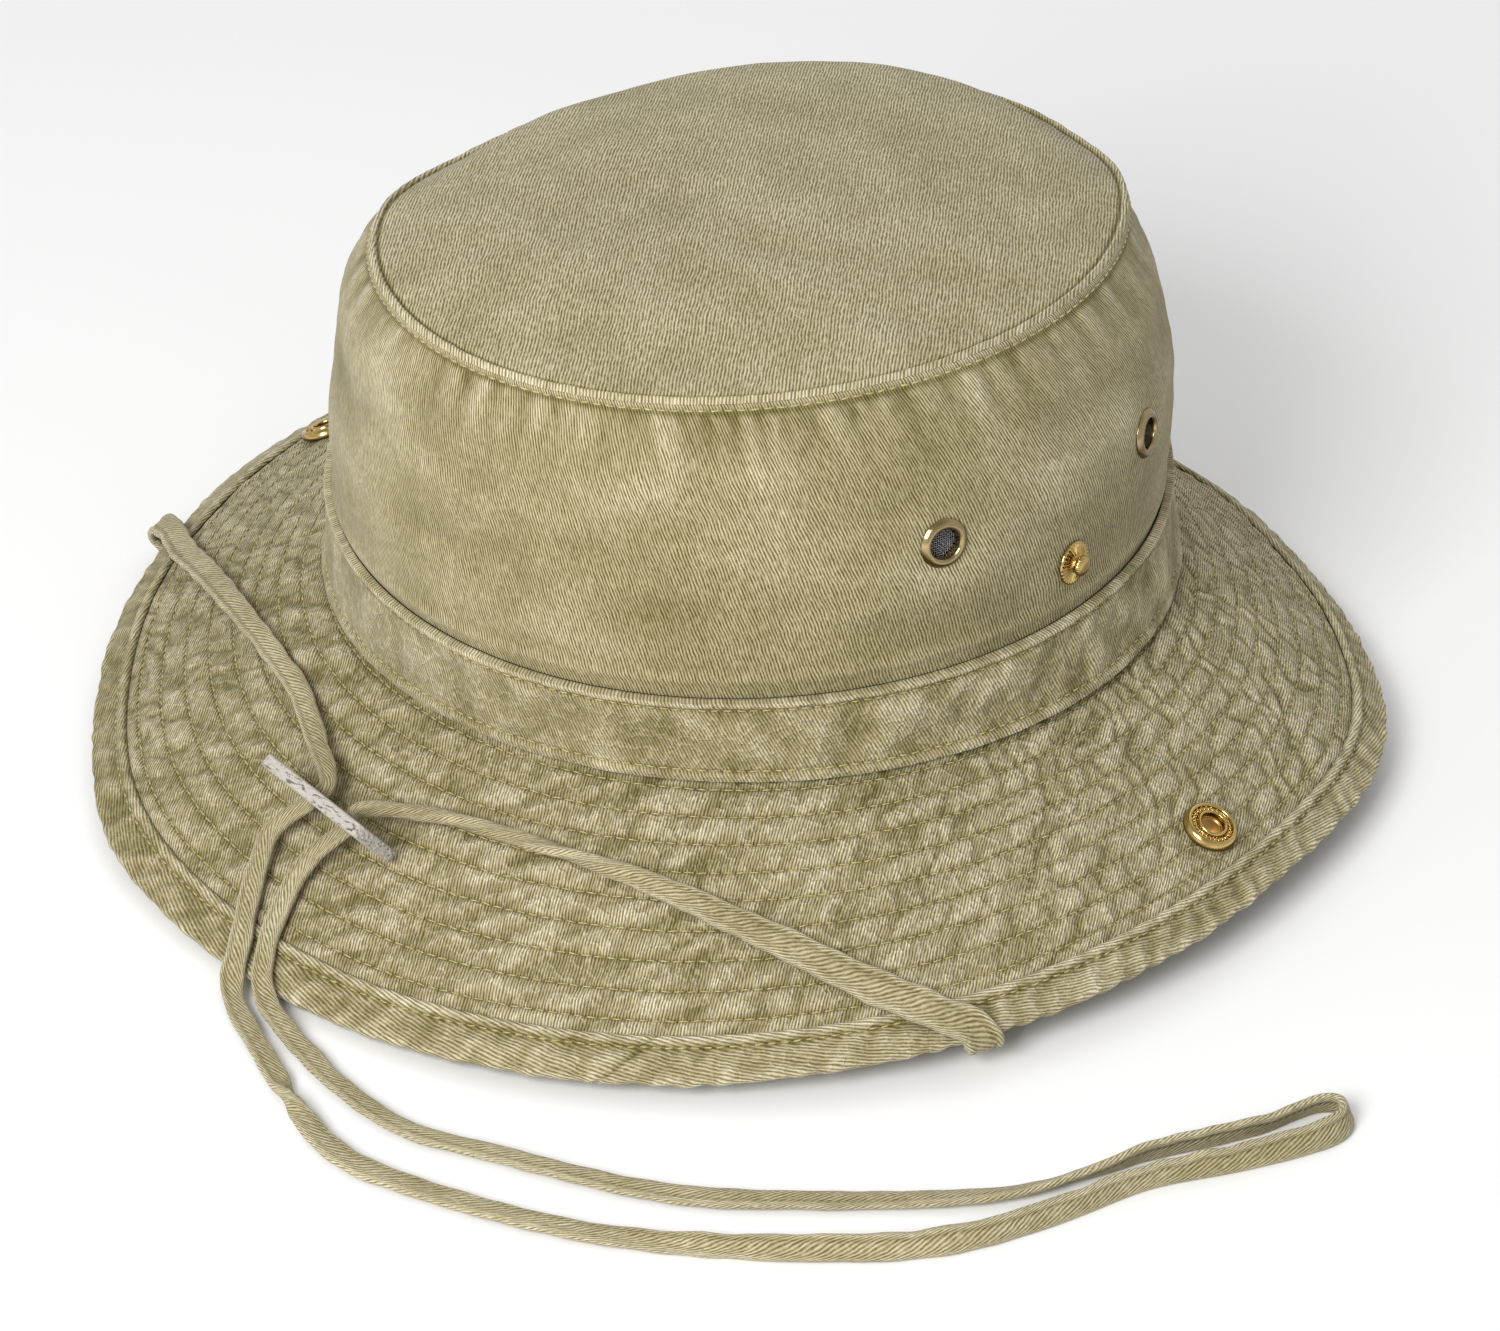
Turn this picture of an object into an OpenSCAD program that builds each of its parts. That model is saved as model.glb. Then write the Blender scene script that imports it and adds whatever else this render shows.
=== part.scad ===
// Boonie hat in washed cotton twill: a flat-topped crown with a band, a quilted brim whose two
// sides fold up to press studs, screened vents, and a chin cord with a leather slider.
// +X is the wearer's left, -Y the front, +Z up. The hat stands on z = 0, as on a table.

/* [Crown] */
// Width of the crown where it meets the brim, side to side
crown_w = 192; // [188:1:194]
// Length of the crown where it meets the brim, front to back
crown_l = 196; // [190:1:202]
// Height of the seam between crown and brim above the table
root_z = 36; // [34:1:40]
// Height of the seam round the flat top above the table
tip_z = 118.5; // [112:0.5:124]
// Rise of the top panel's middle above its seam
dome = 9; // [3:0.5:14]
// How far the crown's middle sits behind the brim's middle
crown_back = 8; // [4:1:12]
// Height of the band round the foot of the crown
band_h = 23; // [18:1:26]
// Height of the sweatband inside
sweatband_h = 26; // [25:0.5:27]

/* [Brim] */
// Width of the whole brim, side to side
brim_w = 298.8; // [290:0.2:306]
// Length of the whole brim, front to back
brim_l = 303.8; // [296:0.2:310]
// How far the brim's sides lift off the table
side_lift = 8; // [6:0.5:9]
// Width of the binding tape that covers the brim's edge
binding_w = 10.5; // [8:0.5:13]

/* [Folding sides] */
// Distance of the fold line from the hat's middle
fold_x = 99.5; // [99:0.5:100]
// Distance from the fold line to the snap
snap_reach = 36.5; // [36:0.5:37]
// Angle past upright that the folded side leans towards the crown
fold_lean = 3; // [2:0.5:3.5]
// How far behind the brim's middle the snaps sit
snap_y = 2; // [0:1:8]

/* [Hardware] */
// Outer diameter of a vent eyelet
eyelet_d = 11; // [10:0.5:12]
// Bore of a vent eyelet
vent_d = 6.6; // [6:0.1:7]
// Azimuth of the front vent, from straight out to the side
vent_front = -25; // [-30:1:-20]
// Azimuth of the back vent, from straight out to the side
vent_back = 12; // [10:1:18]
// Diameter of the snap's ball
ball_d = 4.6; // [4:0.1:5]

/* [Chin cord] */
// Diameter of the chin cord's solid
cord_d = 3.2; // [2.8:0.1:3.4]
// Length of the leather slider
slider_l = 35; // [30:1:42]
// Width of the leather slider
slider_w = 15; // [13:1:18]
// Thickness of the leather slider
slider_t = 3; // [2.4:0.2:3.6]

/* [Hidden] */
twill = 1.2;            // crown cloth with its facing
ply = 1;                // upper and lower brim cloth
stiffener = 0.6;        // interlining between them
tape = 0.9;             // binding and seam tapes
gap = 0.1;              // space between stacked cloths
steps = 72;             // facets round a ring
cut_gap = 0.4;          // slit along each fold line
slouch_side = 3.5;      // the band's top edge dips to the left
slouch_back = 2.8;      // and rises to the back
// Crown outline from the seam at the brim to the seam round the top: half width, half length,
// height, middle's y, and the share of the slouch at that height.
body_h = tip_z - root_z;
CROWN = [
    [crown_w/2,        crown_l/2,        root_z,                crown_back,       0],
    [crown_w/2 - 3.5,  crown_l/2 + 3.5,  root_z + band_h + 0.8, crown_back + 3,   1],
    [crown_w/2 - 2.5,  crown_l/2 + 4,    root_z + 0.485*body_h, crown_back + 3.5, 0.6],
    [crown_w/2 - 4,    crown_l/2 + 2.5,  root_z + 0.68*body_h,  crown_back + 3.5, 0.3],
    [crown_w/2 - 8.5,  crown_l/2 - 0.5,  root_z + 0.85*body_h,  crown_back + 3,   0],
    [crown_w/2 - 16,   crown_l/2 - 5.5,  root_z + 0.96*body_h,  crown_back + 2.5, 0],
    [crown_w/2 - 20.6, crown_l/2 - 8,    tip_z,                 crown_back + 2,   0]];
brim_root = root_z - gap;
brim_in = 1.4;                           // the brim runs this far under the crown
edge_z = 2*ply + stiffener + 3*gap + tape;   // the brim's upper face at front and back
stack = 2*ply + stiffener + 2*gap;       // thickness of the brim's three layers
// The side panel as a flat plate: its slope at rest and its fold to the studs.
side_run = brim_w/2 - tape - gap - (crown_w/2 - brim_in);
side_drop = brim_root - edge_z - side_lift;
droop = atan(side_drop/side_run);
hinge_z = brim_root - side_drop*(fold_x - crown_w/2 + brim_in)/side_run + 0.3;
fold_angle = 90 + fold_lean + droop;
stud_gap = 4.1;                          // from the folded panel to the crown at the snap
vent_level = 2.75;                       // outline row that the vents sit on
post_d = 2;                              // stud's post through the crown
wall_gap = 2.8;                          // the crown's wall between a stud and its back
socket_hole_d = 5;                       // hole in the brim's cloths under a socket
// Chin cord, from under the brim on the wearer's right, round its edge and up to the slider.
RIGHT_RUN = [
    [-93, -4, 31], [-97, -12, 26.5], [-102, -21, 18], [-109, -31, 9], [-118, -39, 4.6],
    [-128, -43.5, 3.8], [-137, -46, 3.6], [-142.5, -47.8, 3.8], [-146, -49.2, 8.6],
    [-143, -50.5, 13.8], [-136, -53, 15.5], [-120, -61.5, 18.5], [-104, -68.5, 22.5],
    [-88, -76, 26], [-72, -83.5, 28.4], [-56, -90.5, 29.4], [-41, -97.5, 29.5],
    [-26, -107.5, 29.6], [-12.2, -117.4, 29.1], [-12.9, -121.3, 26]];
// From under the brim on the wearer's left.
LEFT_RUN = [
    [93, -8, 31], [96.5, -16, 26], [101, -27, 17], [107, -40, 8.5], [115, -53, 4.2],
    [123, -65, 3.2], [128, -71.5, 3.5], [131.5, -75, 5], [132.5, -76.5, 8.5],
    [130, -77.5, 12.5], [125, -79.5, 14], [109, -84.8, 16.6], [93, -89, 20],
    [76, -93.5, 23.3], [58, -98, 26], [40, -103, 27.3], [22, -107.5, 27.5],
    [13, -110.5, 27.8], [0.6, -120, 28.9], [-0.1, -123.7, 26]];
// The loop from the slider over the brim's front to the table, out to its end and back.
LOOP = [
    [-12.9, -121.3, 26], [-18, -128.5, 19.4], [-13.5, -139, 12.6], [-7.5, -148.5, 8.3],
    [-3, -156, 4.2], [3, -161, 1.8], [18, -168.5, 1.8], [36, -177, 1.8], [54, -181.5, 1.8],
    [72, -178.5, 1.8], [90, -173, 1.8], [107, -166, 1.8], [125, -155, 1.8],
    [142, -142.5, 1.8], [155, -131, 1.8], [164, -119, 1.8], [172, -102, 1.8],
    [179, -84, 1.8], [189.5, -67.5, 1.8], [198, -51, 1.8], [199, -44, 1.8],
    [195.5, -40.5, 1.8], [191.5, -44, 1.8], [186.5, -57, 1.8], [176, -75, 1.8],
    [169, -90, 1.8], [160, -105, 1.8], [147, -118.5, 1.8], [131, -132.5, 1.8],
    [113, -146, 1.8], [97, -153.5, 1.8], [77, -160.5, 1.8], [57, -167, 1.8], [38, -166, 1.8],
    [18, -160.5, 1.8], [6.5, -156.5, 4.2], [-0.5, -148.5, 8.3], [-4.5, -139.5, 12.8],
    [-5.5, -130.5, 18.8], [-0.1, -123.7, 26]];
slider_at = [-5.8, -118.9, 21.7];         // the middle of the slider's lower edge
slider_turn = -10.5;                       // of its length, seen from above
slider_tilt = 37.7;                       // from upright, outwards
strand_gap = 13;                         // between its two holes
hole_up = 6;                             // from its lower edge to the holes

// ---- Rings and sheets that follow the hat's ovals ----

// A closed ring: section(azimuth) is a closed outline of points, clockwise seen with the azimuth.
module ring(section) {
    loops = [for (i = [0 : steps - 1]) section(360*i/steps)];
    n = len(loops[0]);
    polyhedron(
        points = [for (l = loops) each l],
        faces = [for (i = [0 : steps - 1], j = [0 : n - 1])
            let (i2 = (i + 1) % steps, j2 = (j + 1) % n)
            each [[i*n + j, i*n + j2, i2*n + j2], [i*n + j, i2*n + j2, i2*n + j]]],
        convexity = 8);
}

// A point on the crown's outline row, grown by off.
function crown_point(row, off, a, dz = 0) = [
    (row[0] + off)*cos(a),
    row[3] + (row[1] + off)*sin(a),
    row[2] + dz + row[4]*(slouch_back*sin(a) - slouch_side*cos(a))];

// A row between the rows of the outline.
function crown_row(level) = let (i = min(floor(level), len(CROWN) - 2))
    CROWN[i] + (level - i)*(CROWN[i + 1] - CROWN[i]);

// A point on the brim: s runs from the crown seam, 0, to the edge, 1; dz is from the upper face.
function edge_top(a) = edge_z + side_lift*(1 + cos(2*a))/2;
function brim_point(s, dz, a, out = 0) = let (
    x0 = crown_w/2 - brim_in,
    y0 = crown_l/2 - brim_in,
    x1 = brim_w/2 - tape - gap,
    y1 = brim_l/2 - tape - gap) [
    (x0 + s*(x1 - x0) + out)*cos(a),
    crown_back*(1 - s) + (y0 + s*(y1 - y0) + out)*sin(a),
    brim_root + s*(edge_top(a) - brim_root) + dz];

module brim_ply(top, thick) {
    ring(function(a) [
        for (s = [0, 0.5, 1]) brim_point(s, -top, a),
        for (s = [1, 0.5, 0]) brim_point(s, -top - thick, a)]);
}

module binding_ring() {
    lap = 1 - binding_w/(side_run/cos(droop));
    ring(function(a) [
        brim_point(lap, gap, a), brim_point(lap, gap + tape, a),
        brim_point(1, gap + tape, a), brim_point(1, gap/2 - stack/2 + tape, a, gap + tape),
        brim_point(1, -stack/2 - tape, a, gap + tape), brim_point(1, -stack - gap - tape, a),
        brim_point(lap, -stack - gap - tape, a), brim_point(lap, -stack - gap, a),
        brim_point(1, -stack - gap, a), brim_point(1, -stack - gap, a, gap),
        brim_point(1, gap, a, gap), brim_point(1, gap, a)]);
}

// The part of the brim between the fold lines, and the flap outside one of them.
module between_folds() {
    intersection() {
        children();
        translate([-fold_x + cut_gap/2, -brim_l, -1]) cube([2*fold_x - cut_gap, 2*brim_l, 60]);
    }
}

module outside_fold(side) {
    intersection() {
        children();
        mirror([side < 0 ? 1 : 0, 0, 0])
            translate([fold_x + cut_gap/2, -brim_l, -1]) cube([brim_w, 2*brim_l, 60]);
    }
}

// ---- Frames of the snaps and vents ----

// On a flap at rest: +Z out of its upper face at the snap.
module at_socket(side) {
    mirror([side < 0 ? 1 : 0, 0, 0]) translate([fold_x, snap_y, hinge_z])
        rotate([0, droop, 0]) translate([snap_reach, 0, 0]) children();
}

// The same place with the flap folded up: -Z out of the crown.
module at_stud(side) {
    mirror([side < 0 ? 1 : 0, 0, 0]) translate([fold_x, snap_y, hinge_z])
        rotate([0, droop - fold_angle, 0]) translate([snap_reach, 0, 0]) children();
}

// +Z out of the crown at a vent.
module at_vent(azimuth) {
    p = crown_point(crown_row(vent_level), 0, azimuth);
    up = crown_point(crown_row(vent_level + 0.1), 0, azimuth) - p;
    out = cross(crown_point(crown_row(vent_level), 0, azimuth + 1) - p, up);
    translate(p) rotate([0, acos(out[2]/norm(out)), atan2(out[1], out[0])]) children();
}

module each_vent() {
    for (azimuth = [vent_front, vent_back]) {
        at_vent(azimuth) children();
        at_vent(180 - azimuth) children();
    }
}

// ---- Crown ----

module crown_tip() {
    top = crown_row(len(CROWN) - 1);
    share = [1, 0.94, 0.8, 0.55, 0.25];
    n = len(share);
    function height(f) = dome*(1 - pow(f, 2.4));
    function at(f, a, dz) = [
        (top[0] + 0.8)*f*cos(a), top[3] + (top[1] + 0.8)*f*sin(a), top[2] + gap + dz + height(f)];
    upper = [for (f = share, i = [0 : steps - 1]) at(f, 360*i/steps, twill)];
    lower = [for (f = share, i = [0 : steps - 1]) at(f, 360*i/steps, 0)];
    m = len(upper);
    color([0.67, 0.63, 0.49]) polyhedron(
        points = concat(upper, lower, [at(0, 0, twill), at(0, 0, 0)]),
        faces = [for (i = [0 : steps - 1]) let (j = (i + 1) % steps)
            each concat(
                [[i, m + i, m + j], [i, m + j, j]],
                [for (k = [0 : n - 2]) let (a = k*steps + i, b = k*steps + j)
                    each [[a, b, b + steps], [a, b + steps, a + steps],
                        [m + a, m + b + steps, m + b], [m + a, m + a + steps, m + b + steps]]],
                [[(n - 1)*steps + i, (n - 1)*steps + j, 2*m],
                    [m + (n - 1)*steps + i, 2*m + 1, m + (n - 1)*steps + j]])],
        convexity = 4);
}

module crown_side() {
    last = len(CROWN) - 1;
    color([0.66, 0.62, 0.48]) difference() {
        ring(function(a) [
            for (i = [0 : last]) crown_point(CROWN[i], 0, a),
            for (i = [last : -1 : 0]) crown_point(CROWN[i], -twill, a)]);
        each_vent() cylinder(d = vent_d + 1.4, h = 12, center = true, $fn = 32);
        for (side = [1, -1]) at_stud(side) cylinder(d = post_d + 0.4, h = 30, center = true, $fn = 24);
    }
}

module tip_seam_tape() {
    color([0.72, 0.68, 0.55]) ring(function(a) [
        crown_point(crown_row(5), -twill - gap, a), crown_point(crown_row(5.9), -twill - gap, a),
        crown_point(crown_row(5.9), -twill - gap - tape, a),
        crown_point(crown_row(5), -twill - gap - tape, a)]);
}

module hat_band() {
    color([0.62, 0.58, 0.42]) ring(function(a) [
        crown_point(crown_row(0.04), gap, a), crown_point(crown_row(0.04), gap + 1.5, a),
        crown_point(crown_row(0.12), gap + tape, a), crown_point(crown_row(0.86), gap + tape, a),
        crown_point(crown_row(0.9), gap + 1.6, a), crown_point(crown_row(1), gap + 1.6, a),
        crown_point(crown_row(1), gap, a)]);
}

module sweatband() {
    top = 1 + (sweatband_h - band_h - 0.8)/(CROWN[2][2] - CROWN[1][2]);
    off = -twill - gap;
    color([0.72, 0.69, 0.58]) ring(function(a) [
        crown_point(CROWN[0], off, a, 2*gap), crown_point(CROWN[1], off, a),
        crown_point(crown_row(top), off, a), crown_point(crown_row(top), off - tape, a),
        crown_point(CROWN[1], off - tape, a), crown_point(CROWN[0], off - tape, a, 2*gap)]);
}

// ---- Brim and its folding sides ----

module ply_with_holes(top, thick) {
    difference() {
        brim_ply(top, thick);
        for (side = [1, -1])
            at_socket(side) cylinder(d = socket_hole_d, h = 12, center = true, $fn = 32);
    }
}

module top_cloth() {
    color([0.64, 0.6, 0.44]) ply_with_holes(0, ply);
}

module interlining() {
    color([0.85, 0.84, 0.78]) ply_with_holes(ply + gap, stiffener);
}

module under_cloth() {
    color([0.64, 0.6, 0.44]) ply_with_holes(ply + stiffener + 2*gap, ply);
}

module binding() {
    color([0.6, 0.56, 0.4]) binding_ring();
}

module brim_top_cloth() { between_folds() top_cloth(); }
module brim_interlining() { between_folds() interlining(); }
module brim_under_cloth() { between_folds() under_cloth(); }
module brim_binding() { between_folds() binding(); }

// ---- Vents: an eyelet through the cloth, its washer inside and a fine screen across it ----

module vent_eyelets() {
    color([0.78, 0.64, 0.36]) each_vent() difference() {
        union() {
            translate([0, 0, 0.3]) cylinder(d = eyelet_d, h = 0.9, $fn = 48);
            translate([0, 0, -2.2]) cylinder(d = vent_d + 1, h = 3.2, $fn = 48);
        }
        cylinder(d = vent_d, h = 10, center = true, $fn = 48);
    }
}

module vent_washers() {
    color([0.72, 0.6, 0.36]) each_vent() translate([0, 0, -2.2]) difference() {
        cylinder(d = eyelet_d - 1, h = 0.5, $fn = 48);
        cylinder(d = vent_d + 1.2, h = 3, center = true, $fn = 48);
    }
}

module vent_screens() {
    color([0.25, 0.25, 0.25]) each_vent()
        translate([0, 0, -1.4]) cylinder(d = vent_d - 0.1, h = 0.3, $fn = 48);
}

// ---- Snaps: a stud on the crown, a socket on the flap, each with its back ----

module stud(side) {
    ball_r = ball_d/2;
    color([0.8, 0.66, 0.34]) at_stud(side) translate([0, 0, stud_gap]) mirror([0, 0, 1]) {
        rotate_extrude($fn = 48) polygon([
            [0, 0], [4.9, 0], [4.9, 0.4], [3.2, 0.8], [1.7, 0.9], [1.6, 1.6],
            [ball_r, 2.2], [ball_r, 2.7], [ball_r - 0.8, 3.4], [0, 3.5]]);
        translate([0, 0, -wall_gap - 0.9]) cylinder(d = post_d, h = wall_gap + 1, $fn = 24);
    }
}

module stud_back(side) {
    color([0.76, 0.63, 0.36]) at_stud(side) translate([0, 0, stud_gap + wall_gap]) difference() {
        cylinder(d = 9, h = 1.2, $fn = 48);
        translate([0, 0, -1]) cylinder(d = post_d + 0.2, h = 1.9, $fn = 24);
    }
}

module socket(side) {
    mouth_r = ball_d/2 + 0.4;
    color([0.8, 0.66, 0.34]) at_socket(side) rotate_extrude($fn = 48) polygon([
        [mouth_r, -0.1], [6.2, -0.1], [6.2, 0.7], [5.4, 2], [4.6, 2.4], [3.6, 2.5],
        [mouth_r, 2]]);
}

module socket_cap(side) {
    color([0.78, 0.64, 0.36]) at_socket(side) difference() {
        union() {
            rotate_extrude($fn = 48) polygon([
                [0, -4.5], [5, -4.3], [6.2, -3.5], [6.2, -3.1], [0, -3.1]]);
            translate([0, 0, -3.6]) cylinder(d = socket_hole_d - 0.4, h = 3.4, $fn = 32);
        }
        translate([0, 0, -1.2]) cylinder(d = socket_hole_d - 1.4, h = 3, $fn = 32);
    }
}

// ---- Chin cord and slider ----

function unit(v) = v/norm(v);
function along(route, i) = unit(route[min(i + 1, len(route) - 1)] - route[max(i - 1, 0)]);
// Across the cord at each point, carried along without twist.
function across(route, i) = i == 0
    ? unit(cross(along(route, 0), [0, 0, 1]))
    : let (t = along(route, i), u = across(route, i - 1)) unit(u - (u*t)*t);

module cord(route) {
    sides = 8;
    n = len(route);
    color([0.62, 0.58, 0.42]) polyhedron(
        points = [for (i = [0 : n - 1]) let (t = along(route, i), u = across(route, i))
            for (k = [0 : sides - 1])
                route[i] + cord_d/2*(u*cos(360*k/sides) + cross(t, u)*sin(360*k/sides))],
        faces = concat(
            [[for (k = [0 : sides - 1]) k]],
            [[for (k = [sides - 1 : -1 : 0]) (n - 1)*sides + k]],
            [for (i = [0 : n - 2], k = [0 : sides - 1]) let (k2 = (k + 1) % sides)
                each [[i*sides + k, (i + 1)*sides + k2, i*sides + k2],
                    [i*sides + k, (i + 1)*sides + k, (i + 1)*sides + k2]]]),
        convexity = 10);
}

module cord_slider() {
    color([0.8, 0.78, 0.72]) translate(slider_at) rotate([0, 0, slider_turn])
        rotate([90 + slider_tilt, 0, 0]) linear_extrude(slider_t, center = true) difference() {
            translate([0, slider_w/2]) offset(r = 2, $fn = 32)
                square([slider_l - 4, slider_w - 4], center = true);
            for (x = [-strand_gap/2, strand_gap/2]) translate([x, hole_up])
                circle(d = cord_d + 3, $fn = 32);
        }
}

crown_tip();
crown_side();
tip_seam_tape();
hat_band();
sweatband();
brim_top_cloth();
brim_interlining();
brim_under_cloth();
brim_binding();
outside_fold(1) top_cloth();  // left_flap_top_cloth
outside_fold(1) interlining();  // left_flap_interlining
outside_fold(1) under_cloth();  // left_flap_under_cloth
outside_fold(1) binding();  // left_flap_binding
outside_fold(-1) top_cloth();  // right_flap_top_cloth
outside_fold(-1) interlining();  // right_flap_interlining
outside_fold(-1) under_cloth();  // right_flap_under_cloth
outside_fold(-1) binding();  // right_flap_binding
vent_eyelets();
vent_washers();
vent_screens();
stud(1);  // left_stud
stud_back(1);  // left_stud_back
socket(1);  // left_socket
socket_cap(1);  // left_socket_cap
stud(-1);  // right_stud
stud_back(-1);  // right_stud_back
socket(-1);  // right_socket
socket_cap(-1);  // right_socket_cap
cord(RIGHT_RUN);  // chin_cord_right_run
cord(LEFT_RUN);  // chin_cord_left_run
cord(LOOP);  // chin_cord_loop
cord_slider();
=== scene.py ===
import math

import bpy
import numpy as np
from mathutils import Matrix, Vector


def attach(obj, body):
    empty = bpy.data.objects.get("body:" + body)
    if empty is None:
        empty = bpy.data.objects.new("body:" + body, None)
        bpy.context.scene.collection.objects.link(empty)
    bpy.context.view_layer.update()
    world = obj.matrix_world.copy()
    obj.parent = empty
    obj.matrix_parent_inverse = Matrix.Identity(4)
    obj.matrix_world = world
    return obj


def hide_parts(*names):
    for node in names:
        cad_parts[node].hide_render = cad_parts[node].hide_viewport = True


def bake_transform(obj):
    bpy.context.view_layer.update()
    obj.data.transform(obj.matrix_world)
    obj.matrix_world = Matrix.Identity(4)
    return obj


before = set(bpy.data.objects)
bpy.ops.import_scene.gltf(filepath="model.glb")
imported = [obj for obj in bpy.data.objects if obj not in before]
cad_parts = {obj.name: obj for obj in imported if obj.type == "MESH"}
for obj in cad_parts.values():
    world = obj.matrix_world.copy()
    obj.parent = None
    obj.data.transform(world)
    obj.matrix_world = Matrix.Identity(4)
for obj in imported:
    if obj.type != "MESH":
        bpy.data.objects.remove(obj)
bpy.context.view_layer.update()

# A boonie hat in washed khaki twill. Shapes are worked out in millimetres, in the frame of the
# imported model, and turned into metres when a mesh is made. +X is the wearer's left, -Y the front.
MM = 0.001
TAU = 2 * math.pi

# ---- The same driving dimensions as the CAD source ----
ROOT_Z, TIP_Z, DOME, CROWN_BACK, BAND_H = 36.0, 118.5, 9.0, 8.0, 23.0
CROWN_W, CROWN_L, BRIM_W, BRIM_L, SIDE_LIFT = 192.0, 196.0, 298.8, 303.8, 8.0
FOLD_X, SNAP_REACH, FOLD_LEAN, SNAP_Y, STUD_GAP = 99.5, 36.5, 3.0, 2.0, 4.1
BODY_H = TIP_Z - ROOT_Z
TAPE, GAP = 0.9, 0.1
SEAM_INSET = 1.4              # the brim starts this far inside the crown's foot
STACK = 2.8                   # thickness of the brim's three layers
BRIM_ROOT = ROOT_Z - GAP
EDGE_Z = 3.8                  # the brim's upper face at front and back
SIDE_RUN = BRIM_W / 2 - TAPE - GAP - (CROWN_W / 2 - SEAM_INSET)
SIDE_DROP = BRIM_ROOT - EDGE_Z - SIDE_LIFT
DROOP = math.atan(SIDE_DROP / SIDE_RUN)
HINGE_ABOVE = 0.3             # the hinge line over the brim's cone
HINGE_Z = BRIM_ROOT - SIDE_DROP * (FOLD_X - CROWN_W / 2 + SEAM_INSET) / SIDE_RUN + HINGE_ABOVE
FOLD_ANGLE = math.radians(90 + FOLD_LEAN) + DROOP
# Crown outline: half width, half length, height, middle's y, share of the slouch.
CROWN = np.array([
    [CROWN_W / 2, CROWN_L / 2, ROOT_Z, CROWN_BACK, 0],
    [CROWN_W / 2 - 3.5, CROWN_L / 2 + 3.5, ROOT_Z + BAND_H + 0.8, CROWN_BACK + 3, 1],
    [CROWN_W / 2 - 2.5, CROWN_L / 2 + 4, ROOT_Z + 0.485 * BODY_H, CROWN_BACK + 3.5, 0.6],
    [CROWN_W / 2 - 4, CROWN_L / 2 + 2.5, ROOT_Z + 0.68 * BODY_H, CROWN_BACK + 3.5, 0.3],
    [CROWN_W / 2 - 8.5, CROWN_L / 2 - 0.5, ROOT_Z + 0.85 * BODY_H, CROWN_BACK + 3, 0],
    [CROWN_W / 2 - 16, CROWN_L / 2 - 5.5, ROOT_Z + 0.96 * BODY_H, CROWN_BACK + 2.5, 0],
    [CROWN_W / 2 - 20.6, CROWN_L / 2 - 8, TIP_Z, CROWN_BACK + 2, 0]])
SLOUCH_SIDE, SLOUCH_BACK = 3.5, 2.8
VENT_LEVEL = 2.75             # outline row that the vents sit on
VENTS = [-25, 12, 180 + 25, 180 - 12]    # azimuths in degrees
VENT_R, EYELET_R = 3.3, 5.5
BALL_R = 2.3                  # of the stud
BACK_SAG = 6.0

# ---- Camera: the photograph's viewing angle ----
VIEW_AZ, VIEW_EL, VIEW_ROLL = (math.radians(v) for v in (39.75, 33.16, 0.48))
VIEW_TARGET = Vector((-15.99, 26.8, -14.85))
VIEW_DISTANCE = 1000.0
VIEW_LENS = 99.36


def add_camera():
    back = Vector((math.sin(VIEW_AZ) * math.cos(VIEW_EL), -math.cos(VIEW_AZ) * math.cos(VIEW_EL),
                   math.sin(VIEW_EL)))
    level = Vector((math.cos(VIEW_AZ), math.sin(VIEW_AZ), 0))
    upright = back.cross(level)
    right = math.cos(VIEW_ROLL) * level + math.sin(VIEW_ROLL) * upright
    up = back.cross(right)
    data = bpy.data.cameras.new("camera")
    data.sensor_width = 36
    data.lens = VIEW_LENS
    data.clip_end = 10
    camera = bpy.data.objects.new("camera", data)
    bpy.context.scene.collection.objects.link(camera)
    place = Matrix((right, up, back)).transposed().to_4x4()
    place.translation = (VIEW_TARGET + VIEW_DISTANCE * back) * MM
    camera.matrix_world = place
    bpy.context.scene.camera = camera


add_camera()


# ---- Smooth noise, the same on every run ----
# Multipliers that scramble a cell's place into 32 bits.
HASH_X, HASH_Y, HASH_SEED, HASH_MIX = 374761393, 668265263, 974634777, 1274126177
BITS = 2 ** 32 - 1


def noise(x, y, seed=0, wrap=None):
    """Gradient noise from about -1 to 1. x repeats after wrap cells."""
    x, y = np.broadcast_arrays(np.asarray(x, float), np.asarray(y, float))
    xi, yi = np.floor(x).astype(np.int64), np.floor(y).astype(np.int64)
    xf, yf = x - xi, y - yi

    def corner(dx, dy):
        cx = (xi + dx) % wrap if wrap else xi + dx
        key = (cx * HASH_X + (yi + dy) * HASH_Y + seed * HASH_SEED) & BITS
        key = ((key ^ (key >> 13)) * HASH_MIX) & BITS
        turn = ((key ^ (key >> 16)) & BITS) * (TAU / 2 ** 32)
        return np.cos(turn) * (xf - dx) + np.sin(turn) * (yf - dy)

    fade_x = xf * xf * xf * (xf * (xf * 6 - 15) + 10)
    fade_y = yf * yf * yf * (yf * (yf * 6 - 15) + 10)
    low = corner(0, 0) * (1 - fade_x) + corner(1, 0) * fade_x
    high = corner(0, 1) * (1 - fade_x) + corner(1, 1) * fade_x
    return 1.5 * (low * (1 - fade_y) + high * fade_y)


def smooth(x, low, high):
    t = np.clip((np.asarray(x, float) - low) / (high - low), 0, 1)
    return t * t * (3 - 2 * t)


def bump(x, middle, width):
    return np.exp(-((np.asarray(x, float) - middle) / width) ** 2)


def blurred(ring, size):
    """A ring of columns averaged over size cells each way, three times over."""
    steps = range(-size, size + 1)
    rows = np.arange(ring.shape[1])
    for _ in range(3):
        ring = sum(np.roll(ring, k, 0) for k in steps) / len(steps)
        ring = sum(ring[:, np.clip(rows + k, 0, rows[-1])] for k in steps) / len(steps)
    return ring


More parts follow.
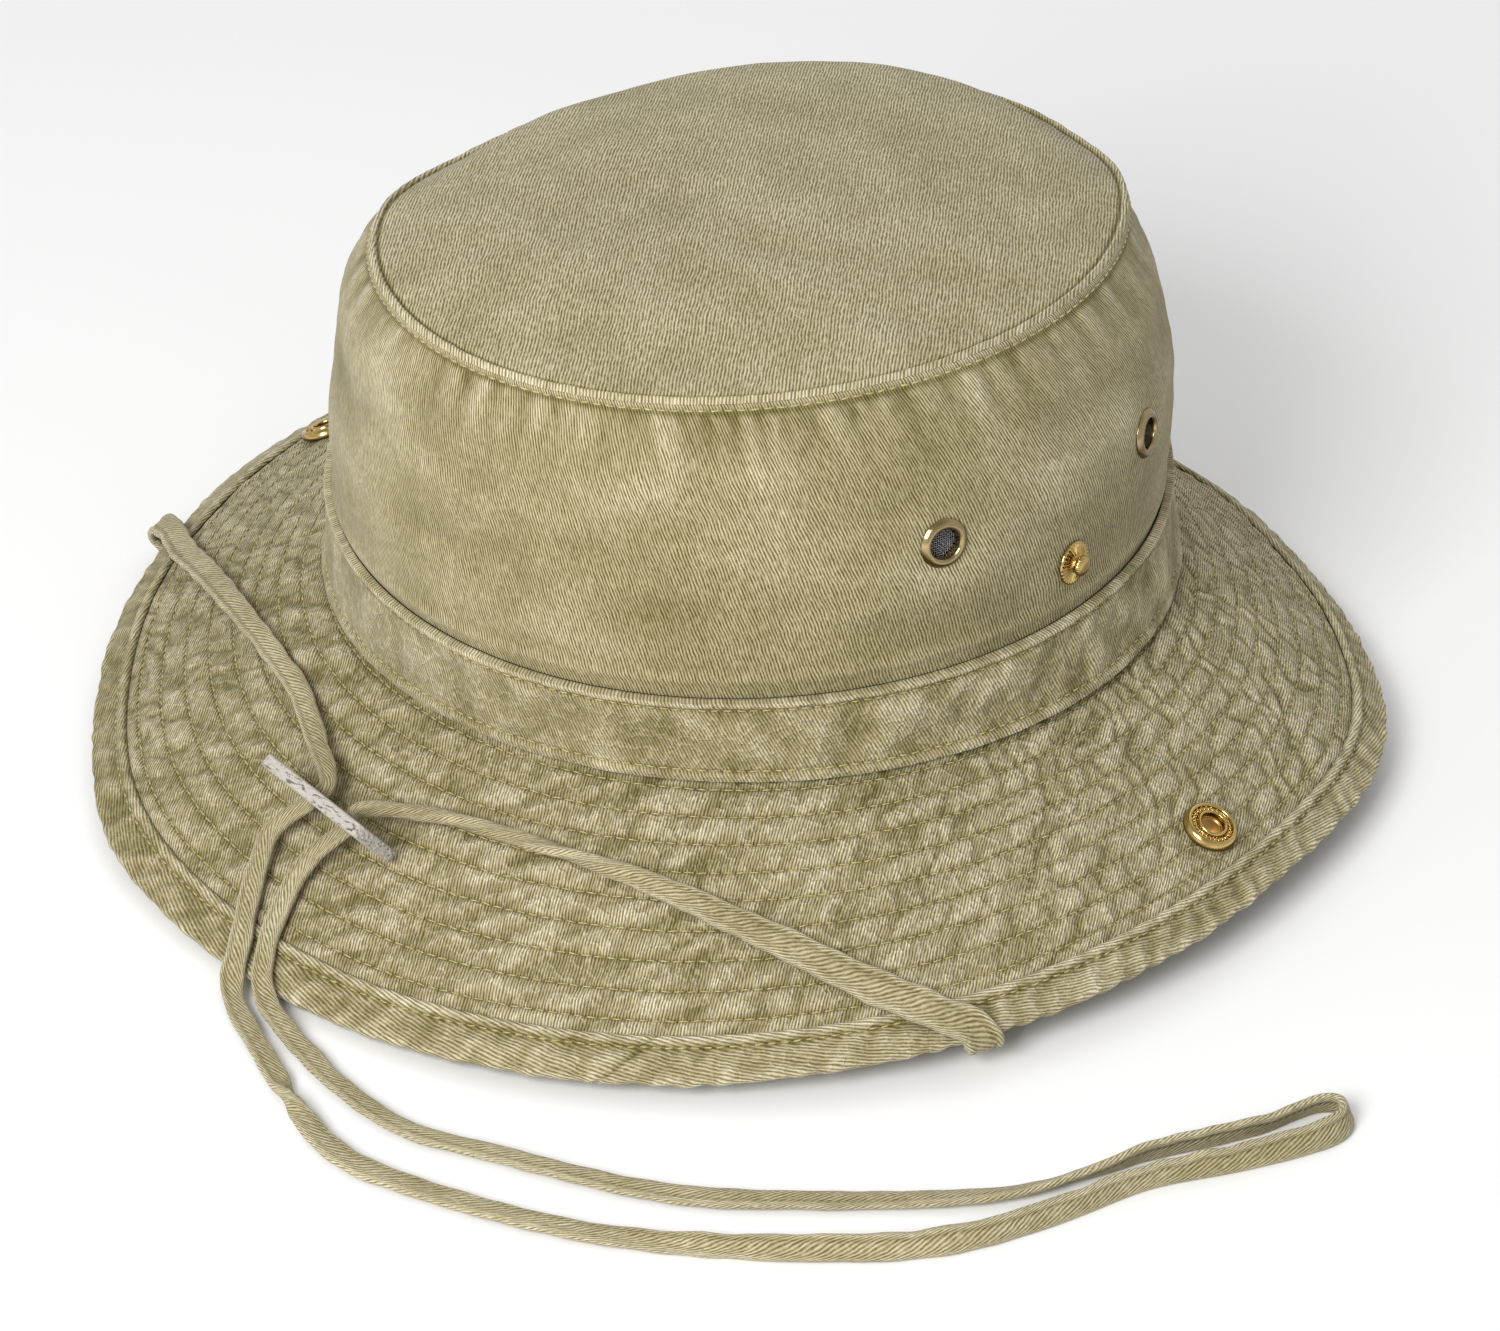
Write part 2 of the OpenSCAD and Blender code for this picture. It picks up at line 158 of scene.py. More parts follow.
# ---- Grids of points ----
def unit(v):
    return v / np.maximum(np.linalg.norm(v, axis=-1, keepdims=True), 1e-12)


def grid_normals(points, wrap, flip=False):
    if wrap:
        along = np.roll(points, -1, 0) - np.roll(points, 1, 0)
    else:
        along = np.gradient(points, axis=0)
    n = unit(np.cross(along, np.gradient(points, axis=1)))
    return -n if flip else n


def lengths_along(points):
    """Distance along a line of points up to each of them."""
    return np.append(0, np.cumsum(np.linalg.norm(np.diff(points, axis=0), axis=1)))


def add_mesh(name, co, faces, uv, wear_and_shade, normals, material):
    """A smooth mesh from arrays: points in mm, faces, a uv in mm per corner, and per point the wear,
    which also carries painted shade.
    """
    mesh = bpy.data.meshes.new(name)
    mesh.from_pydata((co * MM).tolist(), [], faces if isinstance(faces, list) else faces.tolist())
    mesh.polygons.foreach_set("use_smooth", np.ones(len(mesh.polygons), bool))
    if uv is not None:
        layer = mesh.uv_layers.new(name="cloth")
        layer.uv.foreach_set("vector", np.asarray(uv, np.float32).ravel())
    # The wear attribute holds rubbed wear and painted shade together: darker in grooves and hollows and
    # on the brim's shaded side.
    if wear_and_shade is not None:
        mesh.attributes.new("wear_and_shade", "FLOAT", "POINT").data.foreach_set(
            "value", np.asarray(wear_and_shade, np.float32).ravel())
    mesh.materials.append(material)
    if normals is not None:
        mesh.normals_split_custom_set_from_vertices(normals.tolist())
    obj = bpy.data.objects.new(name, mesh)
    bpy.context.scene.collection.objects.link(obj)
    return obj


def cloth(name, outer, inner, uv, material, wear_and_shade=None, normals=None, wrap=True, flip=False,
          keep=None):
    """A panel of cloth: two grids of points (column, row), joined along every free edge.
    uv is a grid in mm, with one more column than points where the grid wraps."""
    cols, rows = outer.shape[:2]
    spans = cols if wrap else cols - 1
    c, r = np.meshgrid(np.arange(spans), np.arange(rows - 1), indexing="ij")
    if keep is not None:
        c, r = c[keep[:spans, :rows - 1]], r[keep[:spans, :rows - 1]]
    c, r = c.ravel(), r.ravel()
    corner_c = np.stack([c, c + 1, c + 1, c], 1)
    corner_r = np.stack([r, r, r + 1, r + 1], 1)
    quads = (corner_c % cols) * rows + corner_r
    quad_uv = uv[corner_c, corner_r]
    if flip:
        quads, quad_uv = quads[:, ::-1], quad_uv[:, ::-1]
    count = cols * rows
    starts, ends = quads.ravel(), np.roll(quads, -1, 1).ravel()
    free = ~np.isin(starts * count + ends, ends * count + starts)
    a, b = starts[free], ends[free]
    uv_a = quad_uv.reshape(-1, 2)[free]
    uv_b = np.roll(quad_uv, -1, 1).reshape(-1, 2)[free]
    rims = np.stack([b, a, a + count, b + count], 1)
    rim_uv = np.stack([uv_b, uv_a, uv_a, uv_b], 1)
    faces = np.concatenate([quads, quads[:, ::-1] + count, rims])
    all_uv = np.concatenate([quad_uv, quad_uv[:, ::-1], rim_uv])
    used, faces = np.unique(faces, return_inverse=True)
    faces = faces.reshape(-1, 4)
    co = np.concatenate([outer.reshape(-1, 3), inner.reshape(-1, 3)])[used]
    if normals is None:
        normals = grid_normals(outer, wrap, flip)
    n = np.concatenate([normals.reshape(-1, 3), -normals.reshape(-1, 3)])[used]
    if wear_and_shade is None:
        wear_and_shade = np.full((cols, rows), 0.5)
    w = np.concatenate([wear_and_shade.ravel(), np.full(count, 0.45)])[used]
    return add_mesh(name, co, faces, all_uv, w, n, material)


def sample(grid, column, row):
    """Values of a ring of columns at fractional columns and rows."""
    cols, rows = grid.shape[:2]
    c0, r0 = np.floor(column).astype(int), np.clip(np.floor(row).astype(int), 0, rows - 2)
    fc, fr = (column - c0)[:, None], (row - r0)[:, None]
    c1 = (c0 + 1) % cols
    c0 = c0 % cols
    return ((grid[c0, r0] * (1 - fc) + grid[c1, r0] * fc) * (1 - fr)
            + (grid[c0, r0 + 1] * (1 - fc) + grid[c1, r0 + 1] * fc) * fr)


# ---- Node materials ----
class Shader:
    """A Principled material whose inputs are built up with small helpers."""

    def __init__(self, name, **constants):
        self.material = bpy.data.materials.new(name)
        self.material.use_nodes = True
        self.tree = self.material.node_tree
        self.shader = self.tree.nodes["Principled BSDF"]
        for key, value in constants.items():
            self.shader.inputs[key.replace("_", " ")].default_value = value

    def node(self, kind, settings=None, **inputs):
        made = self.tree.nodes.new(kind)
        for key, value in (settings or {}).items():
            setattr(made, key, value)
        for key, value in inputs.items():
            place = int(key[1:]) if key[1:].isdigit() else key.replace("_", " ")
            self.feed(made.inputs[place], value)
        return made

    def feed(self, socket, value):
        if isinstance(value, bpy.types.NodeSocket):
            self.tree.links.new(value, socket)
        else:
            socket.default_value = value

    def place(self):
        return self.node("ShaderNodeTexCoord").outputs["Object"]

    def cloth_uv(self):
        return self.node("ShaderNodeUVMap", {"uv_map": "cloth"}).outputs[0]

    def wear_and_shade(self):
        return self.node("ShaderNodeAttribute", {"attribute_name": "wear_and_shade"}).outputs["Fac"]

    def math(self, operation, a, b=0.0, c=0.0):
        return self.node("ShaderNodeMath", {"operation": operation}, i0=a, i1=b, i2=c).outputs[0]

    def add(self, base, part, gain, middle=0.5):
        """base + gain * (part - middle)"""
        return self.math("MULTIPLY_ADD", self.math("SUBTRACT", part, middle), gain, base)

    def noise(self, vector, scale, detail=2.0, roughness=0.5):
        return self.node("ShaderNodeTexNoise", Vector=vector, Scale=scale, Detail=detail,
                         Roughness=roughness).outputs["Fac"]

    def mapped(self, vector, scale=(1, 1, 1), turn=0.0):
        return self.node("ShaderNodeMapping", Vector=vector, Scale=scale,
                         Rotation=(0, 0, turn)).outputs[0]

    def remap(self, value, low, high, to_low=0.0, to_high=1.0):
        return self.node("ShaderNodeMapRange", Value=value, From_Min=low, From_Max=high,
                         To_Min=to_low, To_Max=to_high).outputs[0]

    def mix(self, factor, a, b, blend="MIX"):
        made = self.node("ShaderNodeMix", {"data_type": "RGBA", "blend_type": blend}, Factor=factor)
        for socket, value in ((made.inputs[6], a), (made.inputs[7], b)):
            self.feed(socket, (*value, 1) if isinstance(value, tuple) else value)
        return made.outputs[2]

    def ramp(self, factor, *stops):
        made = self.node("ShaderNodeValToRGB", Fac=factor)
        points = made.color_ramp.elements
        while len(points) < len(stops):
            points.new(0.5)
        for point, (position, colour) in zip(points, stops):
            point.position = position
            point.color = (*colour, 1)
        return made.outputs[0]

    def link(self, name, output):
        self.tree.links.new(output, self.shader.inputs[name])

    def bumps(self, height, distance, strength=1.0):
        made = self.node("ShaderNodeBump", Strength=strength, Distance=distance, Height=height)
        self.link("Normal", made.outputs[0])


PALE, KHAKI, OLIVE = (0.545, 0.487, 0.335), (0.338, 0.291, 0.160), (0.168, 0.142, 0.048)


def twill(name, turn, contrast, blotch, pitch=0.70, grain=1.1, crumple=0.15):
    """Washed twill: diagonal lines, slubby yarn, blotches, and wear and painted shade from the mesh's own
    relief.
    turn is in degrees from the cloth's length, pitch in mm from line to line."""
    s = Shader(name, Roughness=0.88, Sheen_Weight=0.12, Sheen_Roughness=0.5)
    s.shader.inputs["Specular IOR Level"].default_value = 0.25
    uv = s.cloth_uv()
    wander = s.node("ShaderNodeTexNoise", Vector=uv, Scale=0.12, Detail=3.0, Roughness=0.6)
    uv = s.node("ShaderNodeVectorMath", {"operation": "MULTIPLY_ADD"}, i0=wander.outputs["Color"],
                i1=(1.3, 1.3, 0), i2=uv).outputs[0]
    turned = s.mapped(uv, turn=math.radians(turn))
    across = s.node("ShaderNodeSeparateXYZ", Vector=turned).outputs[0]
    wave = s.math("SINE", s.math("MULTIPLY", across, TAU / pitch))
    line = s.remap(wave, -0.75, 1.0)
    yarn = s.noise(s.mapped(turned, scale=(1.5, 0.55, 1)), 1.0, 2.0, 0.7)
    slub = s.noise(s.mapped(turned, scale=(0.9, 0.09, 1)), 1.0, 3.0, 0.65)
    fleck = s.noise(uv, 2.6, 2.0, 0.8)
    patch = s.noise(uv, 0.045, 4.0, 0.6)
    # The mesh's wear attribute: rubbed wear, with painted shade where the cloth is sunk or grooved and on
    # the brim's shaded side.
    wear_and_shade = s.wear_and_shade()
    level = s.add(wear_and_shade, patch, blotch * 1.6)
    level = s.add(level, slub, 0.5)
    level = s.add(level, fleck, 0.3)
    fold = s.math("ABSOLUTE", s.math("SUBTRACT", s.noise(uv, 0.24, 2.0, 0.55), 0.5))
    crest = s.remap(fold, 0.0, 0.07, 1.0, 0.0)
    level = s.add(level, crest, 0.34 * crumple, 0.35)
    cloth_colour = s.ramp(level, (0.05, OLIVE), (0.5, KHAKI), (1.0, PALE))
    # The diagonal lines are stronger in some places than in others.
    broken = s.noise(s.mapped(turned, scale=(0.8, 0.35, 1)), 1.0, 3.0, 0.75)
    depth = s.add(0.5, line, s.remap(broken, 0.3, 0.65, 0.45, 1.15))
    depth = s.add(depth, yarn, grain)
    shade = s.ramp(depth, (0.0, tuple(1 - contrast * v for v in (0.42, 0.45, 0.56))),
                   (0.5, (1.0, 1.0, 0.98)), (1.0, tuple(1 + contrast * v for v in (0.26, 0.29, 0.38))))
    s.link("Base Color", s.mix(1.0, cloth_colour, shade, "MULTIPLY"))
    relief = s.math("MULTIPLY_ADD", crest, 3.2 * crumple, s.math("MULTIPLY_ADD", yarn, 0.5, line))
    s.bumps(relief, 0.0001, 0.9)
    return s.material


def thread_material():
    s = Shader("sewing_thread", Roughness=0.55, Sheen_Weight=0.2)
    where = s.place()
    twist = s.noise(where, 1800.0, 1.0)
    s.link("Base Color", s.ramp(twist, (0.3, (0.30, 0.24, 0.08)), (0.7, (0.58, 0.48, 0.21))))
    s.bumps(twist, 0.00005)
    return s.material


def brass_material(name, colour, roughness):
    s = Shader(name, Metallic=1.0)
    where = s.place()
    haze = s.noise(where, 420.0, 4.0, 0.6)
    tone = s.mix(haze, colour, tuple(0.72 * v for v in colour))
    # Painted reflections: faces turned away from the front are darkened, and a little the ones straight
    # at it, with a bright band between, standing in for a studio's dark and bright reflections.
    normal = s.node("ShaderNodeTexCoord").outputs["Normal"]
    facing = s.node("ShaderNodeVectorMath", {"operation": "DOT_PRODUCT"}, i0=normal,
                    i1=(0.35, -0.45, 0.82)).outputs["Value"]
    shade = s.ramp(facing, (0.0, (0.30, 0.27, 0.23)), (0.42, (0.36, 0.32, 0.26)),
                   (0.62, (1.0, 1.0, 1.0)), (0.86, (1.15, 1.15, 1.12)), (0.97, (0.62, 0.60, 0.56)))
    s.link("Base Color", s.mix(1.0, tone, shade, "MULTIPLY"))
    s.link("Roughness", s.remap(haze, 0.3, 0.8, roughness * 0.7, roughness * 1.7))
    s.bumps(s.noise(where, 900.0, 3.0), 0.00002, 0.5)
    return s.material


def suede_material():
    s = Shader("raw_suede", Roughness=0.92, Sheen_Weight=0.3)
    where = s.place()
    fibre = s.noise(s.mapped(where, scale=(900, 2600, 2600)), 1.0, 4.0, 0.7)
    pit = s.noise(s.mapped(where, scale=(380, 1700, 1700)), 1.0, 3.0, 0.6)
    wear_and_shade = s.wear_and_shade()
    pale = s.mix(fibre, (0.36, 0.33, 0.29), (0.58, 0.55, 0.50))
    face = s.mix(wear_and_shade, s.mix(fibre, (0.30, 0.26, 0.20), (0.40, 0.36, 0.29)), pale)
    speck = s.math("MULTIPLY", s.remap(pit, 0.56, 0.62), wear_and_shade)
    s.link("Base Color", s.mix(speck, face, (0.12, 0.10, 0.08)))
    s.bumps(fibre, 0.0003, 0.7)
    return s.material


def screen_material():
    s = Shader("screen_wire", Metallic=0.9)
    where = s.place()
    tone = s.noise(where, 2500.0, 2.0)
    s.link("Base Color", s.ramp(tone, (0.35, (0.20, 0.20, 0.21)), (0.75, (0.50, 0.50, 0.52))))
    s.link("Roughness", s.remap(tone, 0.3, 0.7, 0.3, 0.6))
    return s.material


COTTON_PITCH = 0.6            # mm from yarn to yarn


def plain_cotton(name, colour):
    s = Shader(name, Roughness=0.9, Sheen_Weight=0.2)
    uv = s.cloth_uv()
    over = s.node("ShaderNodeSeparateXYZ", Vector=uv)
    yarns = [s.math("SINE", s.math("MULTIPLY", over.outputs[k], TAU / COTTON_PITCH)) for k in (0, 1)]
    weave = s.math("MULTIPLY", *yarns)
    mottle = s.noise(uv, 0.3, 4.0, 0.6)
    tone = s.math("MULTIPLY_ADD", weave, 0.15, mottle)
    s.link("Base Color", s.mix(tone, tuple(0.75 * v for v in colour), colour))
    s.bumps(weave, 0.0001, 0.8)
    return s.material


TIP_TWILL = twill("tip_twill", -33, pitch=0.71, contrast=1.5, blotch=0.3, grain=1.7)
CROWN_TWILL = twill("crown_twill", -22, pitch=0.66, contrast=1.6, blotch=0.45, grain=1.15)
BAND_TWILL = twill("band_twill", -21, contrast=1.35, blotch=0.6, crumple=0.8)
BRIM_TWILL = twill("brim_twill", -30, pitch=0.67, contrast=1.5, blotch=0.5, crumple=1.0)
BINDING_TWILL = twill("binding_twill", 74, pitch=0.8, contrast=1.35, blotch=0.45, crumple=0.6)
CORD_TWILL = twill("cord_twill", 63, pitch=0.72, contrast=1.35, blotch=0.4, crumple=0.3)
LINING = plain_cotton("lining_cotton", (0.50, 0.45, 0.31))
INTERLINING = plain_cotton("interlining_cotton", (0.75, 0.73, 0.66))
THREAD = thread_material()
BRASS = brass_material("brass", (0.74, 0.53, 0.20), 0.17)
# The eyelets' brass is a darker copy of the brass, darkened as painted shade to stand in for dark
# reflections that the white studio does not give.
BRASS_PAINTED_DARK = brass_material("brass_painted_dark", (0.50, 0.39, 0.20), 0.2)
BRASS_DEEP = brass_material("brass_deep", (0.62, 0.36, 0.12), 0.35)
SUEDE = suede_material()
SCREEN = screen_material()


# ---- The hat's surfaces ----
def crown_row(level):
    """Rows between the rows of the outline, on a smooth curve through them."""
    level = np.clip(np.asarray(level, float), 0, len(CROWN) - 1 - 1e-9)
    i = level.astype(int)
    t = (level - i)[..., None]
    rows = np.vstack([2 * CROWN[0] - CROWN[1], CROWN, 2 * CROWN[-1] - CROWN[-2]])
    p0, p1, p2, p3 = (rows[i + k] for k in range(4))
    cubic = 2 * p0 - 5 * p1 + 4 * p2 - p3 + t * (3 * (p1 - p2) + p3 - p0)
    curved = p1 + 0.5 * t * (p2 - p0 + t * cubic)
    straight = p1 + t * (p2 - p1)
    return straight + 0.6 * (curved - straight)


def azimuth_bump(a, middle, width):
    """1 at an azimuth in degrees, falling off over a width in degrees."""
    return np.exp(-(np.degrees(np.angle(np.exp(1j * (a - math.radians(middle))))) / width) ** 2)


def back_drop(a):
    """How far the tip's seam sags along the back, in mm."""
    return BACK_SAG * smooth(np.cos(a - math.radians(130)), 0.0, 0.6)


def crown_at(level, a, off=0.0):
    row = crown_row(level)
    # The cloth has settled: drawn in on the left of the back, full on the right of the front.
    drawn_in = smooth(level, 0, 1.1) * (1 - 0.75 * smooth(level, 4.2, 5.9))
    lean = (2.4 * azimuth_bump(a, -146, 30) * smooth(level, 3.0, 5.0)
            - 5.5 * azimuth_bump(a, 52, 30) * drawn_in)
    return np.stack([
        (row[..., 0] + off + lean) * np.cos(a),
        row[..., 3] + (row[..., 1] + off + lean) * np.sin(a),
        row[..., 2] + row[..., 4] * (SLOUCH_BACK * np.sin(a) - SLOUCH_SIDE * np.cos(a))
        - back_drop(a) * smooth(level, 3.5, 6.0)], -1)


def settled_reach(a):
    """How much further out or in the worn edge lies, as a share of its radius."""
    return (0.026 * azimuth_bump(a, -112, 17) - 0.026 * azimuth_bump(a, -165, 21)
            + 0.025 * azimuth_bump(a, 23, 13) - 0.021 * azimuth_bump(a, 54, 16)
            + 0.009 * azimuth_bump(a, -25, 32))


def settled_drop(a):
    """How much lower the worn edge hangs, in mm."""
    return 2.4 * azimuth_bump(a, 180, 30) + 1.8 * azimuth_bump(a, 60, 22)


def settle(path):
    """Moves a path in mm, in place, with the part of the worn brim that it lies on."""
    a = np.arctan2(path[:, 1], path[:, 0])
    reach = np.hypot(path[:, 0] / BRIM_W * 2, path[:, 1] / BRIM_L * 2)
    share = smooth(reach, 0.64, 1.0) * (1 - smooth(reach, 1.06, 1.25))
    path[:, :2] *= 1 + (share * settled_reach(a))[:, None]
    path[:, 2] = np.maximum(path[:, 2] - share * settled_drop(a), 0)


def brim_at(s, a):
    """The brim's even upper face. s runs from the crown seam, 0, to the edge, 1."""
    x0, y0 = CROWN_W / 2 - SEAM_INSET, CROWN_L / 2 - SEAM_INSET
    x1, y1 = BRIM_W / 2 - TAPE - GAP, BRIM_L / 2 - TAPE - GAP
    edge = EDGE_Z + SIDE_LIFT * (1 + np.cos(2 * a)) / 2
    # The worn outline is full at the front left and drawn in at the front right.
    waves = 0.010 * np.sin(3 * a) - 0.010 * np.cos(3 * a) - 0.020 * np.sin(2 * a)
    worn = 1 + s * (waves + settled_reach(a))
    return np.stack([
        (x0 + s * (x1 - x0)) * worn * np.cos(a),
        CROWN_BACK * (1 - s) + (y0 + s * (y1 - y0)) * worn * np.sin(a),
        BRIM_ROOT + s * (edge - settled_drop(a) - BRIM_ROOT)], -1)


def relief_wear_and_shade(height, size, gain):
    """Pale where the cloth stands proud, as rubbed wear; olive where it is sunk, as painted shade."""
    return 0.5 + gain * (height - blurred(height, size))


# The brim's grid starts at the front and goes round by the wearer's left, so its halves are
# its first and second half of columns.
COLS = 900
HALF = COLS // 2
SIDES = {"left": 0, "right": HALF}     # each half's first column
START = -TAU / 4
AZ = START + np.arange(COLS) * TAU / COLS
ROWS_OF_STITCH = [0.045, 0.14, 0.235, 0.33, 0.425, 0.525, 0.625, 0.725, 0.82]
LAP_S = 0.868                 # where the binding's inner edge lies
# Rows of the brim's grid, closer together at the stitch lines.
NEAR_A_LINE = [-0.009, -0.004, 0, 0.004, 0.009]
BRIM_S = np.unique(np.round(np.concatenate(
    [np.linspace(0, 1, 76)] + [np.array(ROWS_OF_STITCH) + d for d in NEAR_A_LINE]), 4))
BRIM_ROWS = len(BRIM_S)
BRIM_SLANT = 62.0             # mm from the crown seam to the edge
PILLOWS = 92                  # in a row round the brim


def ridges(x, y, seed, wrap):
    """Narrow crests that wander like creases, about -1 to 1."""
    return 1 - 3.2 * np.abs(noise(x, y, seed, wrap))


def brim_relief(s, a):
    """Height of the brim's upper face over its even cone, in mm: rows of small pillows."""
    slant = s * BRIM_SLANT
    edges = np.array([-0.06] + ROWS_OF_STITCH + [LAP_S + 0.01])
    band = np.clip(np.searchsorted(edges, s, side="right") - 1, 0, len(edges) - 2)
    t = np.clip((s - edges[band]) / (edges[band + 1] - edges[band]), 0, 1)
    pillow = 1 - np.abs(2 * t - 1) ** 4
    shift = 0.55 * noise(a / TAU * 60, band * 7.3 + 0.5, 3, 60)
    phase = (a / TAU * PILLOWS + 0.055 * slant + 0.95 * noise(a / TAU * 34, slant / 16, 5, 34)
             + 0.45 * noise(a / TAU * 95, slant / 8, 6, 95) + shift)
    index = np.floor(phase)
    f = phase - index
    firm = 0.62 + 0.55 * noise(index + 0.5, band * 1.9 + 0.3, 8, PILLOWS)
    cell = 1 - np.abs(2 * f - 1) ** 2.8
    tilt = (f - 0.5) * noise(index + 0.5, band * 2.3 + 0.7, 9, PILLOWS)
    front = azimuth_bump(a, -68, 34)
    crease = ridges(a / TAU * 74 + 0.11 * slant, slant / 12, 10, 74)
    streak = noise(a / TAU * 84 + 0.09 * slant, slant / 13, 11, 84)
    fine = noise(a / TAU * 190, slant / 4.5, 12, 190)
    held = 0.15 + 0.85 * pillow
    seam = sum(bump(slant, line * BRIM_SLANT, 0.42) for line in ROWS_OF_STITCH)
    plump = 0.72 - 0.4 * front + 0.30 * azimuth_bump(a, 12, 42)
    return (0.22 * pillow - 0.16 * seam + plump * firm * (cell - 0.65) * held + 0.5 * tilt * held
            + (0.12 + 0.14 * front) * crease * held + (0.24 + 0.12 * front) * streak * held
            + 0.08 * fine)


def brim_wave(s, a):
    """Slow waves of the whole brim, in mm."""
    rise = smooth(s, 0.15, 1.0)
    return rise * (0.9 * noise(a / TAU * 11, s * 1.5, 21, 11) + 0.45 * noise(a / TAU * 24, s * 3, 22, 24))


UNDER_TURN = 1.7              # radians: the lower cloth has the same pillows elsewhere
S_GRID, A_GRID = np.meshgrid(BRIM_S, AZ)
CONE = brim_at(S_GRID, A_GRID)
CONE_UP = grid_normals(CONE, True, True)
CONE_UP = np.where(CONE_UP[..., 2:] < 0, -CONE_UP, CONE_UP)
WAVE = brim_wave(S_GRID, A_GRID)
RELIEF = brim_relief(S_GRID, A_GRID)
UNDER_RELIEF = brim_relief(S_GRID, A_GRID + UNDER_TURN)
EDGE_SINK = 0.55 * smooth(S_GRID, LAP_S - 0.01, LAP_S + 0.02)
FLAT_UNDER_TAPE = 1 - 0.7 * smooth(S_GRID, LAP_S - 0.02, LAP_S)
INSET = 0.35                  # of both cloths from the stack's faces
TOP_LIFT = WAVE + RELIEF * FLAT_UNDER_TAPE - INSET - EDGE_SINK
BOTTOM_LIFT = WAVE - STACK + INSET + EDGE_SINK * 0.6 - UNDER_RELIEF * FLAT_UNDER_TAPE * 0.8
BRIM_TOP = CONE + TOP_LIFT[..., None] * CONE_UP
BRIM_BOTTOM = CONE + BOTTOM_LIFT[..., None] * CONE_UP
PATTERN_R = 96.0              # radius of the crown seam on the brim's flat pattern


def brim_uv(s):
    """Flat pattern of the brim, on which the weave's lines keep one direction round the hat."""
    radius = PATTERN_R + s * BRIM_SLANT
    a = (START + np.arange(COLS + 1) * TAU / COLS)[:, None]
    return np.stack([radius * np.cos(a), radius * np.sin(a)], -1)


def ring_uv(azimuths, length, across):
    """A uv grid for a whole ring of cloth: length round it in all, and the way across it, in mm."""
    u = np.append(azimuths - START, TAU) / TAU * length
    return np.stack(np.broadcast_arrays(u[:, None], across), -1)


def halves(name, outer, inner, uv, material, wear_and_shade, flip, parts):
    """The left and right half of a ring, each made in place of its CAD pieces, which are hidden."""
    normals = grid_normals(outer, True, flip)
    half = len(outer) // 2
    for side in SIDES:
        columns = np.arange(half + 1) + (half if side == "right" else 0)
        ring = columns % len(outer)
        piece = cloth(f"{side}_{name}", outer[ring], inner[ring], uv[columns], material,
                      wear_and_shade[ring] if wear_and_shade is not None else None, normals[ring], False, flip)
        bend(piece)
        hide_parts(f"brim_{parts}", f"{side}_flap_{parts}")


def belongs(piece, body, node):
    """The body that a piece moves with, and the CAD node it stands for."""
    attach(piece, body)
    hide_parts(node)


def bend(piece):
    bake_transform(piece)


# ---- Chin cord: the routes of the CAD solids, in metres ----
RIGHT_RUN = [
    (-0.093, -0.004, 0.031), (-0.097, -0.012, 0.0265), (-0.102, -0.021, 0.018),
    (-0.109, -0.031, 0.009), (-0.118, -0.039, 0.0046), (-0.128, -0.0435, 0.0038),
    (-0.137, -0.046, 0.0036), (-0.1425, -0.0478, 0.0038), (-0.146, -0.0492, 0.0086),
    (-0.143, -0.0505, 0.0138), (-0.136, -0.053, 0.0155), (-0.12, -0.0615, 0.0185),
    (-0.104, -0.0685, 0.0225), (-0.088, -0.076, 0.026), (-0.072, -0.0835, 0.0284),
    (-0.056, -0.0905, 0.0294), (-0.041, -0.0975, 0.0295), (-0.026, -0.1075, 0.0296),
    (-0.0122, -0.1174, 0.0291), (-0.0129, -0.1213, 0.026)]
LEFT_RUN = [
    (0.093, -0.008, 0.031), (0.0965, -0.016, 0.026), (0.101, -0.027, 0.017),
    (0.107, -0.04, 0.0085), (0.115, -0.053, 0.0042), (0.123, -0.065, 0.0032),
    (0.128, -0.0715, 0.0035), (0.1315, -0.075, 0.005), (0.1325, -0.0765, 0.0085),
    (0.13, -0.0775, 0.0125), (0.125, -0.0795, 0.014), (0.109, -0.0848, 0.0166),
    (0.093, -0.089, 0.02), (0.076, -0.0935, 0.0233), (0.058, -0.098, 0.026),
    (0.04, -0.103, 0.0273), (0.022, -0.1075, 0.0275), (0.013, -0.1105, 0.0278),
    (0.0006, -0.12, 0.0289), (-0.0001, -0.1237, 0.026)]
LOOP = [
    (-0.0129, -0.1213, 0.026), (-0.018, -0.1285, 0.0194), (-0.0135, -0.139, 0.0126),
    (-0.0075, -0.1485, 0.0083), (-0.003, -0.156, 0.0042), (0.003, -0.161, 0.0018),
    (0.018, -0.1685, 0.0018), (0.036, -0.177, 0.0018), (0.054, -0.1815, 0.0018),
    (0.072, -0.1785, 0.0018), (0.09, -0.173, 0.0018), (0.107, -0.166, 0.0018),
    (0.125, -0.155, 0.0018), (0.142, -0.1425, 0.0018), (0.155, -0.131, 0.0018),
    (0.164, -0.119, 0.0018), (0.172, -0.102, 0.0018), (0.179, -0.084, 0.0018),
    (0.1895, -0.0675, 0.0018), (0.198, -0.051, 0.0018), (0.199, -0.044, 0.0018),
    (0.1955, -0.0405, 0.0018), (0.1915, -0.044, 0.0018), (0.1865, -0.057, 0.0018),
    (0.176, -0.075, 0.0018), (0.169, -0.09, 0.0018), (0.16, -0.105, 0.0018),
    (0.147, -0.1185, 0.0018), (0.131, -0.1325, 0.0018), (0.113, -0.146, 0.0018),
    (0.097, -0.1535, 0.0018), (0.077, -0.1605, 0.0018), (0.057, -0.167, 0.0018),
    (0.038, -0.166, 0.0018), (0.018, -0.1605, 0.0018), (0.0065, -0.1565, 0.0042),
    (-0.0005, -0.1485, 0.0083), (-0.0045, -0.1395, 0.0128), (-0.0055, -0.1305, 0.0188),
    (-0.0001, -0.1237, 0.026)]
CORD_STEP = 1.1               # mm between sections
CORD_SIDES = 28


